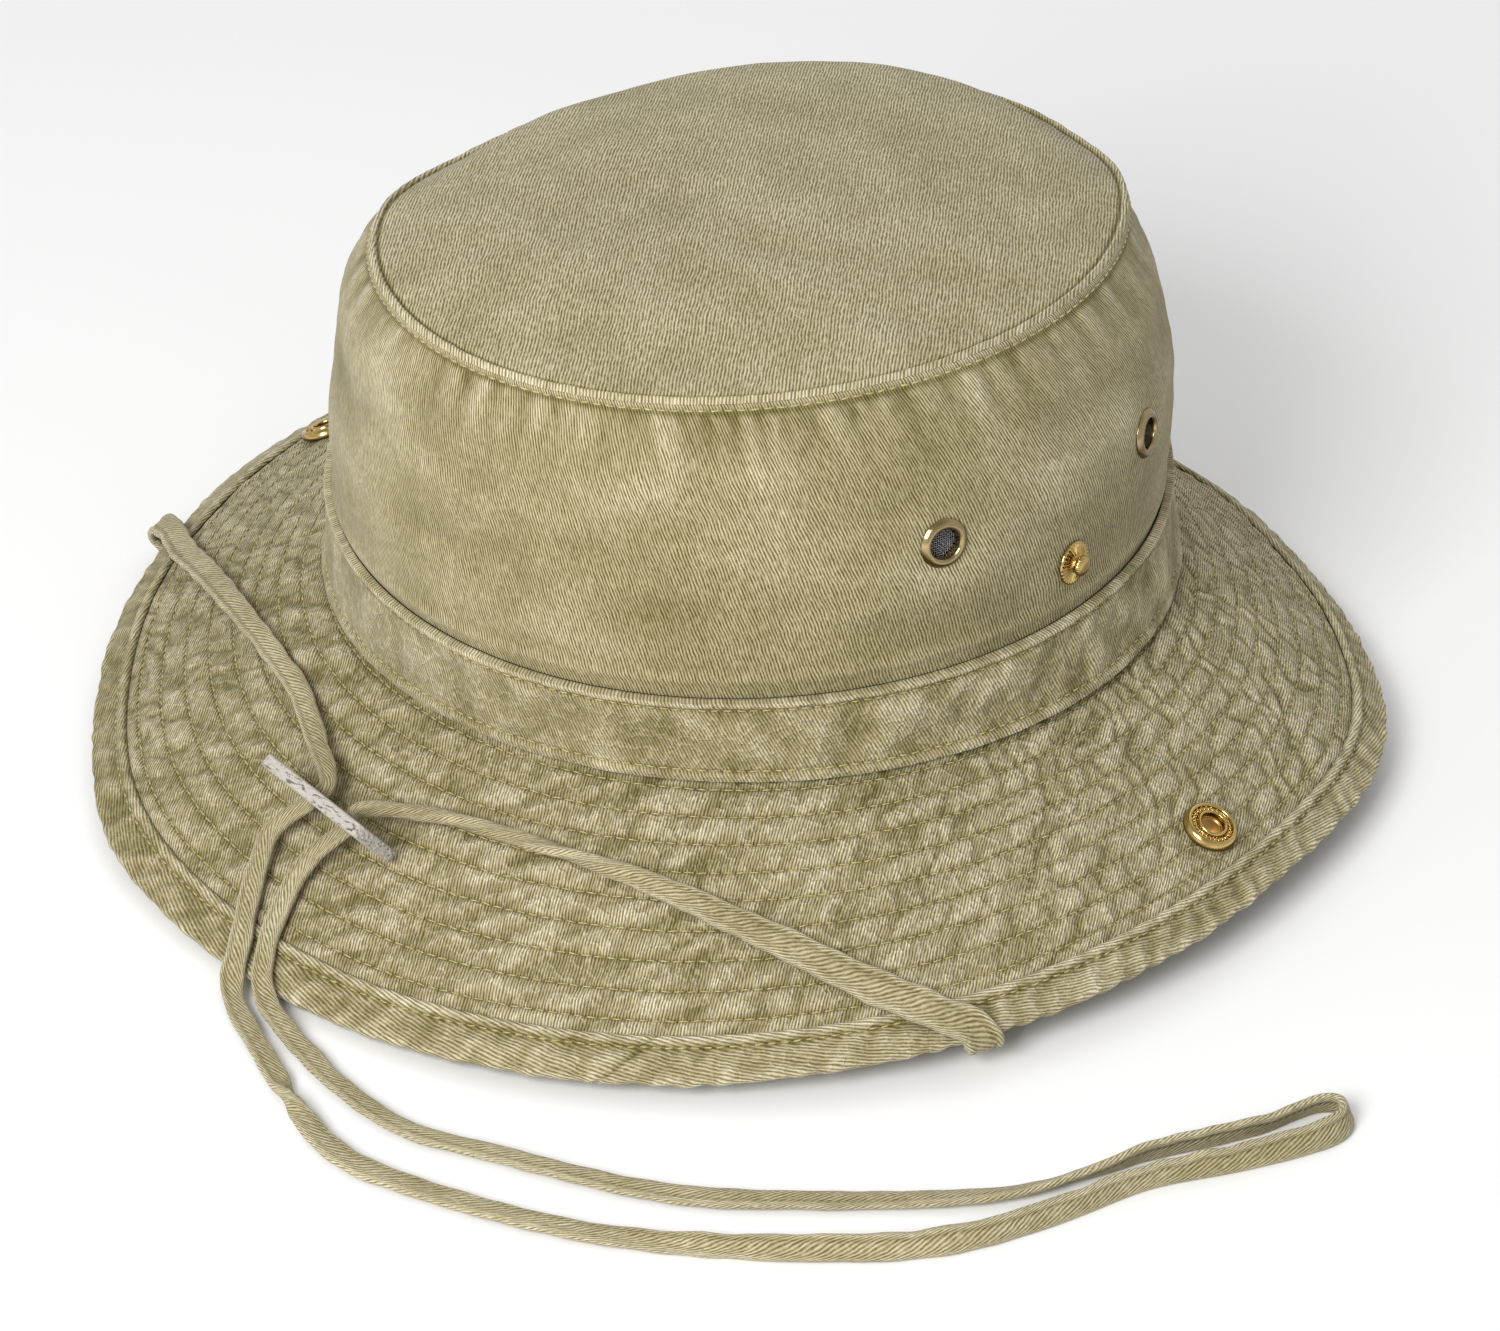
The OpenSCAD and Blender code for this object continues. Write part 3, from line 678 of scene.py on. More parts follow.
def curve_through(points, step):
    """Points a step apart on a smooth curve through the route, both in mm."""
    p = np.array(points) / MM
    padded = np.vstack([2 * p[0] - p[1], p, 2 * p[-1] - p[-2]])
    dense = []
    for i in range(len(p) - 1):
        p0, p1, p2, p3 = padded[i:i + 4]
        t = np.linspace(0, 1, 24, endpoint=False)[:, None]
        tension = 0.5
        m1, m2 = tension * (p2 - p0), tension * (p3 - p1)
        dense.append((2 * t ** 3 - 3 * t ** 2 + 1) * p1 + (t ** 3 - 2 * t ** 2 + t) * m1
                     + (-2 * t ** 3 + 3 * t ** 2) * p2 + (t ** 3 - t ** 2) * m2)
    dense = np.vstack(dense + [p[-1:]])
    length = lengths_along(dense)
    count = int(round(length[-1] / step)) + 1
    at = np.linspace(0, length[-1], count)
    return np.stack([np.interp(at, length, dense[:, k]) for k in range(3)], 1), at


EDGE_POINT = 8                # of both runs' routes, at the brim's edge
EDGE_MIDDLE = {"right_run": 9.0, "left_run": 8.6}     # heights in mm of the edge's middle there
EDGE_HUG = 0.28               # share of the way that a run is drawn in to the edge's middle
CORD_ROUND = 17.8             # mm round the folded strip
FLOOR_GAP = 0.05              # mm


def strip(name, route, width, thick, twist, side_of, edge_at=None):
    """A flat strip of folded twill along a route. width, thick and twist are functions of the
    distance along it; side_of gives the way across its flat side before it is twisted."""
    path, at = curve_through(route, CORD_STEP)
    if edge_at:
        # It is drawn tight round the brim's edge.
        near = bump(at, edge_at, 11)
        path[:, 2] -= EDGE_HUG * near * (path[:, 2] - EDGE_MIDDLE[name])
        path[:, :2] *= 1 - 0.006 * near[:, None]
    settle(path)
    tangent = unit(np.gradient(path, axis=0))
    side = side_of(path, tangent, at)
    side = unit(side - (side * tangent).sum(1, keepdims=True) * tangent)
    up = np.cross(side, tangent)
    turn = twist(at)[:, None]
    side, up = (side * np.cos(turn) + up * np.sin(turn), up * np.cos(turn) - side * np.sin(turn))
    # The section: a box with round corners, a groove along its middle and thicker edges.
    k = np.arange(CORD_SIDES) / CORD_SIDES * TAU
    x = np.sign(np.cos(k)) * np.abs(np.cos(k)) ** 0.8
    y = np.sign(np.sin(k)) * np.abs(np.sin(k)) ** 0.62
    w, h = width(at)[:, None] / 2, thick(at)[:, None] / 2
    flat = np.clip((w - h) / 2.5, 0, 1)
    groove = 0.30 * flat * bump(x, 0.52, 0.09)[None, :]
    rim = 0.22 * flat * (np.abs(x)[None, :] > 0.6)
    ripple = 0.10 * noise(at[:, None] / 5, k[None, :] * 1.2, 31) * (y[None, :] > 0)
    high = h * y[None, :] + (rim - groove + ripple) * np.sign(y)[None, :]
    wide = w * x[None, :] * (1 + 0.16 * noise(at[:, None] / 7, np.sign(x)[None, :] * 3.1, 32))
    points = path[:, None, :] + side[:, None, :] * wide[..., None] + up[:, None, :] * high[..., None]
    # Nothing is sunk in the floor: a strip on its edge stands on it.
    lift = np.maximum(FLOOR_GAP - points[..., 2].min(axis=1), 0)
    points[..., 2] += lift[:, None]
    path[:, 2] += lift
    count = len(path)
    c, r = (grid.ravel() for grid in
            np.meshgrid(np.arange(count - 1), np.arange(CORD_SIDES), indexing="ij"))
    corners_c = np.stack([c, c, c + 1, c + 1], 1)
    corners_r = np.stack([r, r + 1, r + 1, r], 1)
    faces = (corners_c * CORD_SIDES + corners_r % CORD_SIDES).tolist()
    around = np.append(k, TAU) / TAU * CORD_ROUND
    uv = np.stack([at[corners_c], around[corners_r]], -1).reshape(-1, 2)
    caps = [list(range(CORD_SIDES))[::-1], [(count - 1) * CORD_SIDES + i for i in range(CORD_SIDES)]]
    all_uv = np.concatenate([uv, np.zeros((2 * CORD_SIDES, 2))])
    # Painted shade in the strip's middle groove and where the ripple is sunk; the rims and raised ripple
    # are paler, as rubbed wear.
    wear_and_shade = (0.60 + 0.20 * (np.abs(x)[None, :] > 0.75) - 0.9 * groove + 0.5 * ripple
            + 0.12 * noise(at[:, None] / 22, k[None, :], 33))
    piece = add_mesh(name, points.reshape(-1, 3), faces + caps, all_uv, wear_and_shade, None, CORD_TWILL)
    return piece, path * MM


def brim_up(path):
    """The way out of the brim's upper face beside a path."""
    a = np.arctan2(path[:, 1] - 3, path[:, 0])
    out = np.stack([np.cos(a), np.sin(a), np.zeros_like(a)], 1)
    return unit(out * math.sin(DROOP) + np.array([0, 0, math.cos(DROOP)]))


def round_the_edge(edge_at):
    """Across a strip that lies under the brim, folds flat over its edge and lies on top."""
    def across(path, tangent, at):
        facing = brim_up(path) * (2 * smooth(at, edge_at - 4, edge_at + 4)[:, None] - 1)
        a = np.arctan2(path[:, 1] - 3, path[:, 0])
        along = np.stack([-np.sin(a), np.cos(a), 0 * a], 1)
        near = bump(at, edge_at, 9)[:, None]
        return np.cross(tangent, facing) * (1 - near) + along * near
    return across


def loop_across(path, tangent, _):
    """Across the loop: flat on the brim, then flat on the floor."""
    on_floor = smooth(path[:, 2], 9, 2)[:, None]
    facing = brim_up(path) * (1 - on_floor) + np.array([0, 0, 1.0]) * on_floor
    return np.cross(tangent, unit(facing))


def length_to_edge(route):
    """Distance in mm along a run's route to the brim's edge."""
    return lengths_along(np.array(route) / MM)[EDGE_POINT]


def make_cords():
    right_edge, left_edge = length_to_edge(RIGHT_RUN), length_to_edge(LEFT_RUN)
    right_len = curve_through(RIGHT_RUN, CORD_STEP)[1][-1]
    left_len = curve_through(LEFT_RUN, CORD_STEP)[1][-1]
    loop_len = curve_through(LOOP, CORD_STEP)[1][-1]
    right, right_path = strip(
        "right_run", RIGHT_RUN,
        width=lambda u: (6.3 + 1.2 * bump(u, right_edge, 22)
                         - 1.3 * smooth(u, right_edge + 40, right_len - 50)
                         - 1.2 * smooth(u, right_len - 26, right_len - 4)),
        thick=lambda u: 1.7 + 0.7 * smooth(u, right_len - 60, right_len - 4),
        twist=lambda u: 0.15 * noise(u / 30, 0.5, 41) + 0.5 * smooth(u, right_len - 40, right_len),
        side_of=round_the_edge(right_edge), edge_at=right_edge)
    left, left_path = strip(
        "left_run", LEFT_RUN,
        width=lambda u: 7.3 + 1.3 * bump(u, left_edge + 10, 16) - 4.0 * smooth(u, 125, 200),
        thick=lambda u: 1.6 + 1.5 * smooth(u, 150, 205),
        twist=lambda u: 0.12 * noise(u / 30, 2.5, 42) + 9.0 * smooth(u, 155, left_len + 20),
        side_of=round_the_edge(left_edge), edge_at=left_edge)
    # The loop is turned over once, and its end stands on its edge.
    turned_at, middle = 88, loop_len / 2

    def stand(u):
        return smooth(u, middle - 165, middle - 60) * smooth(u, middle + 120, middle + 40)

    loop, loop_path = strip(
        "loop", LOOP,
        width=lambda u: (4.7 + 1.1 * stand(u) + 0.8 * noise(u / 45, 1.5, 43)
                         - 0.9 * (smooth(u, 14, 2) + smooth(u, loop_len - 14, loop_len - 2))
                         - 1.3 * bump(u, turned_at, 7)),
        thick=lambda u: 1.9 + 0.8 * bump(u, turned_at, 7),
        twist=lambda u: (0.22 * noise(u / 40, 4.5, 44)
                         + math.pi * smooth(u, turned_at - 8, turned_at + 10) - 1.35 * stand(u)),
        side_of=loop_across)
    bend(right)
    bend(left)
    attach(loop, "hat")
    for piece, node, path, exit_point, length in (
            (right, "chin_cord_right_run", right_path, RIGHT_RUN[0], right_len),
            (left, "chin_cord_left_run", left_path, LEFT_RUN[0], left_len),
            (loop, "chin_cord_loop", loop_path, LOOP[0], loop_len)):
        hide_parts(node)


make_cords()


# ---- Stitches ----
THREAD_SIDES = 6
# Along one stitch: place as a share of its length, thickness and height as shares of its width.
STITCH_AT = np.array([-0.5, -0.36, 0.0, 0.36, 0.5])
STITCH_THICK = np.array([0.35, 0.85, 1.0, 0.85, 0.35])
STITCH_HIGH = np.array([-1.0, -0.1, 0.25, -0.1, -1.0])


def stitches(path, normals, pitch, length, width, seed):
    """Short capsules of thread along a line, each dipping into the cloth at its ends."""
    at = lengths_along(path)
    count = max(1, int(at[-1] / pitch))
    centre = (np.arange(count) + 0.5) * at[-1] / count
    where = centre[:, None] + STITCH_AT[None, :] * length

    def along_line(source):
        return np.stack([np.interp(where, at, source[:, k]) for k in range(3)], -1)

    p, n = along_line(path), unit(along_line(normals))
    t = unit(np.gradient(p, axis=1))
    side = unit(np.cross(t, n))
    sway = 0.12 * length * np.sin(np.arange(count) * 1.9 + seed)[:, None] * STITCH_AT[None, :]
    p = p + side * sway[..., None] + n * (STITCH_HIGH * width)[None, :, None]
    k = np.arange(THREAD_SIDES) / THREAD_SIDES * TAU
    radius = width / 2 * STITCH_THICK[None, :, None, None]
    ring = (side[:, :, None, :] * np.cos(k)[None, None, :, None]
            + n[:, :, None, :] * np.sin(k)[None, None, :, None]) * radius
    co = (p[:, :, None, :] + ring).reshape(-1, 3)
    last = (len(STITCH_AT) - 1) * THREAD_SIDES
    base = np.arange(count)[:, None] * (last + THREAD_SIDES)
    quads = []
    for j in range(0, last, THREAD_SIDES):
        for i in range(THREAD_SIDES):
            i2 = (i + 1) % THREAD_SIDES
            after = j + THREAD_SIDES
            quads.append(base + np.array([[j + i, after + i, after + i2, j + i2]]))
    around = np.arange(THREAD_SIDES)[None, :]
    ends = np.concatenate([base + around, base + last + around[:, ::-1]])
    return co, np.concatenate(quads), ends


def thread_piece(name, lines, side=None):
    """One mesh of all the stitches of several lines: (path, normals, pitch, length, width).
    With a side given, its transform is baked where it lies; otherwise it rides on the hat."""
    co, faces, offset = [], [], 0
    for index, line in enumerate(lines):
        points, quads, ends = stitches(*line, index)
        co.append(points)
        faces += (quads + offset).tolist() + (ends + offset).tolist()
        offset += len(points)
    piece = add_mesh(name, np.concatenate(co), faces, None, None, None, THREAD)
    if side:
        bend(piece)
    else:
        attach(piece, "hat")


def half_columns(side):
    """The columns of one half of the brim's grid, as fractions for sample()."""
    return np.arange(SIDES[side], SIDES[side] + HALF + 1, 1.0)


# ---- Brim ----
BRIM_SKIN = 0.75              # thickness of each visible brim cloth
BRIM_STITCH = 2.7, 2.5, 0.34  # pitch, length and width in mm


def make_brim():
    top_up = grid_normals(BRIM_TOP, True, True)
    # Painted shade on the upper cloth: darker round azimuth -125 degrees, at the front on the wearer's
    # right, where the brim lies in shade, and darker next to the crown's foot under the band's edge.
    top_wear_and_shade = (0.02 - 0.17 * azimuth_bump(A_GRID, -125, 40) + relief_wear_and_shade(RELIEF, 7, 0.85)
                - 0.15 * bump(S_GRID, 0.0, 0.04))
    bottom_wear_and_shade = relief_wear_and_shade(UNDER_RELIEF, 7, 0.8)
    # Painted shade: both cloths are darkened along each stitched valley.
    for line in ROWS_OF_STITCH:
        top_wear_and_shade = top_wear_and_shade - 0.16 * bump(S_GRID, line, 0.0065)
        bottom_wear_and_shade = bottom_wear_and_shade - 0.16 * bump(S_GRID, line, 0.012)
    uv = brim_uv(BRIM_S)
    halves("brim_top", BRIM_TOP, BRIM_TOP - BRIM_SKIN * CONE_UP, uv, BRIM_TWILL, top_wear_and_shade, True,
           "top_cloth")
    halves("brim_under", BRIM_BOTTOM, BRIM_BOTTOM + BRIM_SKIN * CONE_UP, uv, BRIM_TWILL,
           bottom_wear_and_shade, False, "under_cloth")
    # The interlining is drawn thin and on every second point.
    middle = (BRIM_TOP + BRIM_BOTTOM)[::2, ::2] / 2
    half_ply = 0.1 * CONE_UP[::2, ::2]
    uv = brim_uv(BRIM_S[::2])[::2]
    halves("brim_interlining", middle + half_ply, middle - half_ply, uv, INTERLINING, None, True,
           "interlining")
    for side in SIDES:
        columns = half_columns(side)
        lines = []
        for line in ROWS_OF_STITCH:
            row = np.interp(line, BRIM_S, np.arange(BRIM_ROWS)) + 0.3 * noise(columns / 6, line * 30, 51)
            for grid, face in ((BRIM_TOP, top_up), (BRIM_BOTTOM, -top_up)):
                lines.append((sample(grid, columns, row), sample(face, columns, row), *BRIM_STITCH))
        thread_piece(f"{side}_brim_stitching", lines, side=side)


# ---- Binding over the brim's edge ----
JOIN_AT = -55.0               # degrees
WELT, SEAM = 2.8, 3.9          # mm across the tape: its rolled edge, and the stitching beside it
WELT_HIGH, TAPE_SKIN = 1.15, 0.65
FOLD_OUT, FOLD_HIGH = 1.35, 1.5        # half depth and half height of the round fold at the edge
BINDING_ROUND = 930.0          # mm round the brim's edge
BINDING_STITCH = 2.6, 2.1, 0.4
LAP_ROWS = 34                 # points across each side of the tape


def binding_outline():
    """The tape's section as rows of (s, mm out, mm up): upper side, round fold, lower side."""
    top = []
    for s in np.linspace(LAP_S, 1.0, LAP_ROWS):
        d = (s - LAP_S) * BRIM_SLANT
        welt = WELT_HIGH * math.sqrt(max(0.0, 1 - (2 * d / WELT - 1) ** 2))
        top.append((s, 0.0, -0.15 + welt + 0.3 * smooth(d, WELT + 0.4, WELT + 2.4)))
    fold = [(1.0, FOLD_OUT * math.sin(q), -FOLD_OUT + FOLD_HIGH * math.cos(q))
            for q in np.linspace(0, math.pi, 15)[1:-1]]
    under = [(s, out, -STACK - 0.05 - dz * 0.8) for s, out, dz in top[::-1]]
    return np.array(top + fold + under).T[:, None, :]


def make_binding():
    """A bias tape folded over the edge: a welt along each inner edge and a round fold."""
    s, out, dz = binding_outline()
    a = AZ[:, None] + 0 * s
    radial = np.stack([np.cos(a), np.sin(a), 0 * a], -1)
    up = CONE_UP[:, -3][:, None, :]
    skin = brim_at(s, a) + (brim_wave(s, a) + dz)[..., None] * up + out[..., None] * radial
    lengths = lengths_along(skin[0])
    normals = grid_normals(skin, True, True)
    across, end, turns = lengths[None, :], lengths[-1], AZ[:, None] / TAU
    phase = turns * BINDING_ROUND / 3.4 + across * 0.16 + 0.9 * noise(turns * 70, across / 9, 61, 70)
    ripple = 0.16 * np.sin(TAU * phase / 2.0) * (0.6 + 0.6 * noise(turns * 60, across / 6, 62, 60))
    ripple = ripple * (1 + 0.7 * azimuth_bump(a, 0, 48)) + 0.28 * noise(turns * 120, across / 5, 63, 120)
    flat = smooth(across, SEAM, SEAM + 1.5) * (1 - smooth(across, end - SEAM - 1.5, end - SEAM))
    seam = bump(across, SEAM, 0.4) + bump(across, end - SEAM, 0.4)
    # The tape's ends meet in a slanted seam.
    join = bump(np.degrees(AZ)[:, None] + 0.33 * across, JOIN_AT, 0.22)
    height = ripple * (0.3 + 0.9 * flat) - 0.2 * seam - 0.45 * join
    skin = skin + height[..., None] * normals
    # Painted shade: darker round azimuth -128 degrees, where the brim lies in shade, in the stitch
    # grooves and the slanted join, beside the welt and at the tape's tucked edges. The ripple is painted
    # pale on its crests, as rubbed wear, and darker in its hollows, as painted shade.
    wear_and_shade = 0.56 - 0.30 * azimuth_bump(a, -128, 34) + 0.9 * ripple - 0.3 * seam - 0.4 * join
    wear_and_shade = wear_and_shade + 0.16 * bump(across, lengths[LAP_ROWS - 1] + 1.5, 2.2)
    wear_and_shade = wear_and_shade + 0.34 * bump(across, WELT / 2 + 0.3, 1.0)
    wear_and_shade = wear_and_shade - 0.25 * smooth(across, WELT, WELT + 0.3) * smooth(across, SEAM + 1.4, SEAM)
    wear_and_shade = wear_and_shade - 0.45 * (bump(across, 0.0, 0.35) + bump(across, end, 0.35))
    uv = ring_uv(AZ, BINDING_ROUND, across)
    halves("brim_binding", skin, skin - TAPE_SKIN * normals, uv, BINDING_TWILL, wear_and_shade, True,
           "binding")
    face = grid_normals(skin, True, True)
    for side in SIDES:
        columns = half_columns(side)
        lines = []
        for spot in (SEAM, end - SEAM):
            row = np.interp(spot, lengths, np.arange(len(lengths))) + 0 * columns
            lines.append((sample(skin, columns, row), sample(face, columns, row), *BINDING_STITCH))
        thread_piece(f"{side}_binding_stitching", lines, side=side)


# ---- Crown ----
CROWN_ROWS = 110
CROWN_ROUND = 595.0           # mm
CROWN_SKIN, TIP_SKIN = 1.1, 1.0
TIP_OUT = 0.9                 # the tip's edge laps this far over the side
STITCH_BELOW_TOP = 1.15
SNAP_DROP = 0.8               # share of the settled edge's drop at the snaps


def vent_place(azimuth):
    """Middle and outward direction of a vent, from the crown's own surface."""
    a = math.radians(azimuth)
    middle = crown_at(VENT_LEVEL, a)
    up = crown_at(VENT_LEVEL + 0.1, a) - middle
    along = crown_at(VENT_LEVEL, a + 0.02) - middle
    return middle, unit(np.cross(along, up))


def snap_matrix(side, fold):
    """Place of a snap's parts, with the side of the brim folded up by an angle. +Z is off the
    brim's upper face. The worn brim lets the snap down a little."""
    flip = Matrix.Scale(-1, 4, Vector((1, 0, 0))) if side == "right" else Matrix.Identity(4)
    drop = SNAP_DROP * float(settled_drop(math.pi if side == "right" else 0.0))
    return (flip @ Matrix.Translation((FOLD_X, SNAP_Y, HINGE_Z - drop))
            @ Matrix.Rotation(DROOP - fold, 4, "Y") @ Matrix.Translation((SNAP_REACH, 0, 0)))


def pressed(points, middle, outward, width, depth):
    """Points of the crown pressed flat round hardware, to a depth in mm under its middle."""
    rel = points - middle
    high = rel @ outward
    away = np.linalg.norm(rel - high[..., None] * outward, axis=-1)
    near = (away < 12) & (np.linalg.norm(rel, axis=-1) < 25)
    return points + (near * bump(away, 0, width) * (-high - depth))[..., None] * outward


def make_crown_side():
    azimuths = AZ[::2]
    level = np.linspace(0, len(CROWN) - 1, CROWN_ROWS)[None, :]
    a = azimuths[:, None] + 0 * level
    base = crown_at(level + 0 * a, a)
    height = base[..., 2]
    below_top = TIP_Z - height
    turns = a / TAU
    seam_pucker = (noise(turns * 104, below_top / 26, 71, 104)
                   + 0.6 * noise(turns * 170, below_top / 16, 72, 170))
    pucker = 1.0 * seam_pucker * np.exp(-below_top / 6.0) * smooth(below_top, 1.0, 2.8)
    dent = (1.3 * noise(turns * 7 + 0.4, height / 34, 73, 7)
            + 0.7 * noise(turns * 15, height / 17, 74, 15))
    crease = (0.30 * noise(turns * 30, height / 7, 75, 30)
              + 0.16 * noise(turns * 70, height / 9, 76, 70))
    band_top = ROOT_Z + BAND_H
    body = smooth(height, band_top + 1, band_top + 16) * smooth(below_top, 2, 18)
    # The seam allowance fills the top out, and the cloth closes on the band's upper edge.
    allowance = 1.0 * smooth(below_top, 1.7, 0.5)
    foot = 0.6 * bump(height - band_top, 0.9, 1.3)
    relief = pucker + body * (dent + crease) + allowance + foot - 0.35
    points = base + relief[..., None] * grid_normals(base, True)
    # The cloth is pressed flat round the hardware, and cut out under the vents.
    after = np.roll(points, -1, 0)
    centres = (points[:, :-1] + after[:, :-1] + points[:, 1:] + after[:, 1:]) / 4
    keep = np.ones((len(azimuths), CROWN_ROWS - 1), bool)
    for azimuth in VENTS:
        middle, outward = vent_place(azimuth)
        points = pressed(points, middle, outward, 8.5, 0.15)
        keep &= np.linalg.norm(centres - middle, axis=-1) >= VENT_R + 0.9
    for side in SIDES:
        place = snap_matrix(side, FOLD_ANGLE)
        outward = -np.array(place.to_3x3() @ Vector((0, 0, 1)))
        points = pressed(points, np.array(place @ Vector((0, 0, STUD_GAP))), outward, 7, 0.1)
    normals = grid_normals(points, True)
    # Painted shade: darker in a narrow band just under the tip's overhanging ridge. The relief and the
    # puckers are painted pale where raised, as rubbed wear, and darker in their hollows, as painted
    # shade.
    wear_and_shade = relief_wear_and_shade(relief, 9, 0.30) + 0.55 * pucker - 0.3 * bump(below_top, 1.5, 0.5)
    # Darker towards the band over its last 8 mm.
    wear_and_shade = wear_and_shade - 0.12 * smooth(height, band_top + 8, band_top)
    uv = ring_uv(azimuths, CROWN_ROUND, height.mean(0)[None, :])
    piece = cloth("crown_side_panel", points, points - CROWN_SKIN * normals, uv, CROWN_TWILL, wear_and_shade,
                  normals, keep=keep)
    belongs(piece, "hat", "crown_side")
    rows = np.arange(CROWN_ROWS)
    row = np.array([np.interp(-STITCH_BELOW_TOP, -column, rows) for column in below_top])
    row = np.append(row, row[0])
    columns = np.arange(len(row) + 0.0)
    thread_piece("top_seam_stitching", [
        (sample(points, columns, row), sample(normals, columns, row), 2.7, 2.15, 0.42)])


def make_crown_tip():
    rings = np.concatenate([np.linspace(0.004, 0.93, 84), np.linspace(0.937, 1.0, 20)])
    top = crown_row(len(CROWN) - 1)
    f = rings[None, :]
    a = AZ[::2, None] + 0 * f
    seam = crown_at(len(CROWN) - 1.0, AZ[::2], TIP_OUT)[:, None, :]
    x = seam[..., 0] * f
    y = (seam[..., 1] - top[3]) * f
    inward = (1 - f) * top[0]
    sag = 0.8 * noise(x / 46 + 5, y / 46 + 3, 81) + 0.35 * noise(x / 18, y / 18, 82)
    fine = 0.10 * noise(x / 7, y / 7, 83)
    rim_pucker = 0.22 * noise(a / TAU * 110, inward / 12, 84, 110) * np.exp(-inward / 6)
    # Along the seam: a round ridge over the allowance, then the stitched dip.
    ridge = 0.8 * np.sqrt(np.clip(1 - ((inward - 0.4) / 1.15) ** 2, 0, 1))
    dip = -0.45 * bump(inward, 1.75, 0.45)
    dome = DOME * (1 - f ** 2.4)
    z = TIP_Z + 0.5 + dome + (sag + fine) * smooth(inward, 1, 12) + rim_pucker + ridge + dip
    z = z - back_drop(a) * (1 - smooth(inward, 0.5, 14)) - 1.0 * smooth(inward, 0.5, 0.0)
    points = np.stack([x, top[3] + y, z], -1)
    normals = grid_normals(points, True, True)
    # Painted shade: darker in the stitched dip inside the seam. The relief is painted pale where raised,
    # as rubbed wear, and darker where sunk, as painted shade.
    wear_and_shade = relief_wear_and_shade(sag + fine + rim_pucker * 2, 8, 0.35) + 0.12
    wear_and_shade = wear_and_shade + 0.16 * smooth(inward, 1.6, 1.1) - 0.75 * bump(inward, 1.75, 0.33)
    uv_a = np.append(AZ[::2], START + TAU)[:, None]
    uv = np.stack([(top[0] + TIP_OUT) * f * np.cos(uv_a), (top[1] + TIP_OUT) * f * np.sin(uv_a)], -1)
    piece = cloth("crown_tip_panel", points, points - TIP_SKIN * normals, uv, TIP_TWILL, wear_and_shade,
                  normals, flip=True)
    close_middle(piece)
    belongs(piece, "hat", "crown_tip")


def close_middle(piece):
    """Pull the innermost ring of the tip together so that the panel has no hole."""
    mesh = piece.data
    co = np.array([v.co for v in mesh.vertices])
    middle = np.array([0, crown_row(len(CROWN) - 1)[3] * MM])
    near = np.linalg.norm(co[:, :2] - middle, axis=1) < 0.7 * MM
    co[near, :2] = middle
    mesh.vertices.foreach_set("co", co.ravel())


def make_seam_tape():
    level = np.linspace(5.0, 5.9, 8)[None, :]
    a = AZ[::4, None] + 0 * level
    outer = crown_at(level + 0 * a, a, -1.7)
    inner = crown_at(level + 0 * a, a, -2.4)
    uv = ring_uv(AZ[::4], 540, level * 8)
    piece = cloth("seam_tape", inner, outer, uv, LINING, flip=True)
    belongs(piece, "hat", "tip_seam_tape")


BAND_ROWS = 56
BAND_LINES = BAND_H - 3.0, 3.1         # mm up the band: its two rows of stitches


def make_band():
    """The band: a welt along its upper edge, wrinkled cloth, and a stitched foot."""
    level = np.linspace(0.02, 1.0, BAND_ROWS)[None, :]
    a = AZ[:, None] + 0 * level
    base = crown_at(level + 0 * a, a, 0.35)
    out = grid_normals(base, True)
    d = level * BAND_H
    from_top = BAND_H - d
    turns = a / TAU
    roll = np.sqrt(np.clip(1 - ((1.15 - from_top) / 1.35) ** 2, 0, 1))
    welt = 0.85 * smooth(from_top, 2.6, 1.9) * roll
    seams = -0.22 * bump(d, BAND_LINES[0], 0.45) - 0.2 * bump(d, BAND_LINES[1], 0.5)
    wrinkle = (0.62 * noise(turns * 46 + d / 60, d / 14, 91, 46)
               + 0.42 * noise(turns * 82 - d / 40, d / 10, 92, 82)
               + 0.12 * noise(turns * 180, d / 5, 93, 180))
    wrinkle = wrinkle * (1 + 0.8 * azimuth_bump(a, -8, 34))
    middle = smooth(d, 3.5, 8) * smooth(from_top, 2.6, 6)
    foot = 0.5 * smooth(d, 2.6, 2.0)
    relief = 0.75 + welt + seams + wrinkle * (0.3 + 0.7 * middle) + foot
    closing = smooth(d, BAND_H - 0.5, BAND_H)
    relief = relief * (1 - closing) - 0.5 * closing
    points = base + relief[..., None] * out
    normals = grid_normals(points, True)
    # The wrinkles are painted pale where raised, as rubbed wear, and darker in their hollows, as painted
    # shade; the two stitch grooves are darkened as painted shade too.
    wear_and_shade = (relief_wear_and_shade(wrinkle, 8, 0.50) + 0.02 + 0.30 * bump(from_top, 1.1, 1.0)
            + 0.1 * bump(d, 1.6, 1.0))
    wear_and_shade = wear_and_shade - 0.45 * bump(d, BAND_LINES[0], 0.5) - 0.35 * bump(d, BAND_LINES[1], 0.5)
    piece = cloth("band_cloth", points, base + 0.05 * out, ring_uv(AZ, 600, d), BAND_TWILL, wear_and_shade,
                  normals)
    belongs(piece, "hat", "hat_band")
    columns = np.arange(COLS + 1.0)
    lines = []
    for spot in BAND_LINES:
        row = np.interp(spot, d[0], np.arange(BAND_ROWS)) + 0.25 * noise(columns / 50, spot, 94)
        row[-1] = row[0]
        lines.append((sample(points, columns, row), sample(normals, columns, row), 2.7, 2.15, 0.38))
    thread_piece("band_stitching", lines)


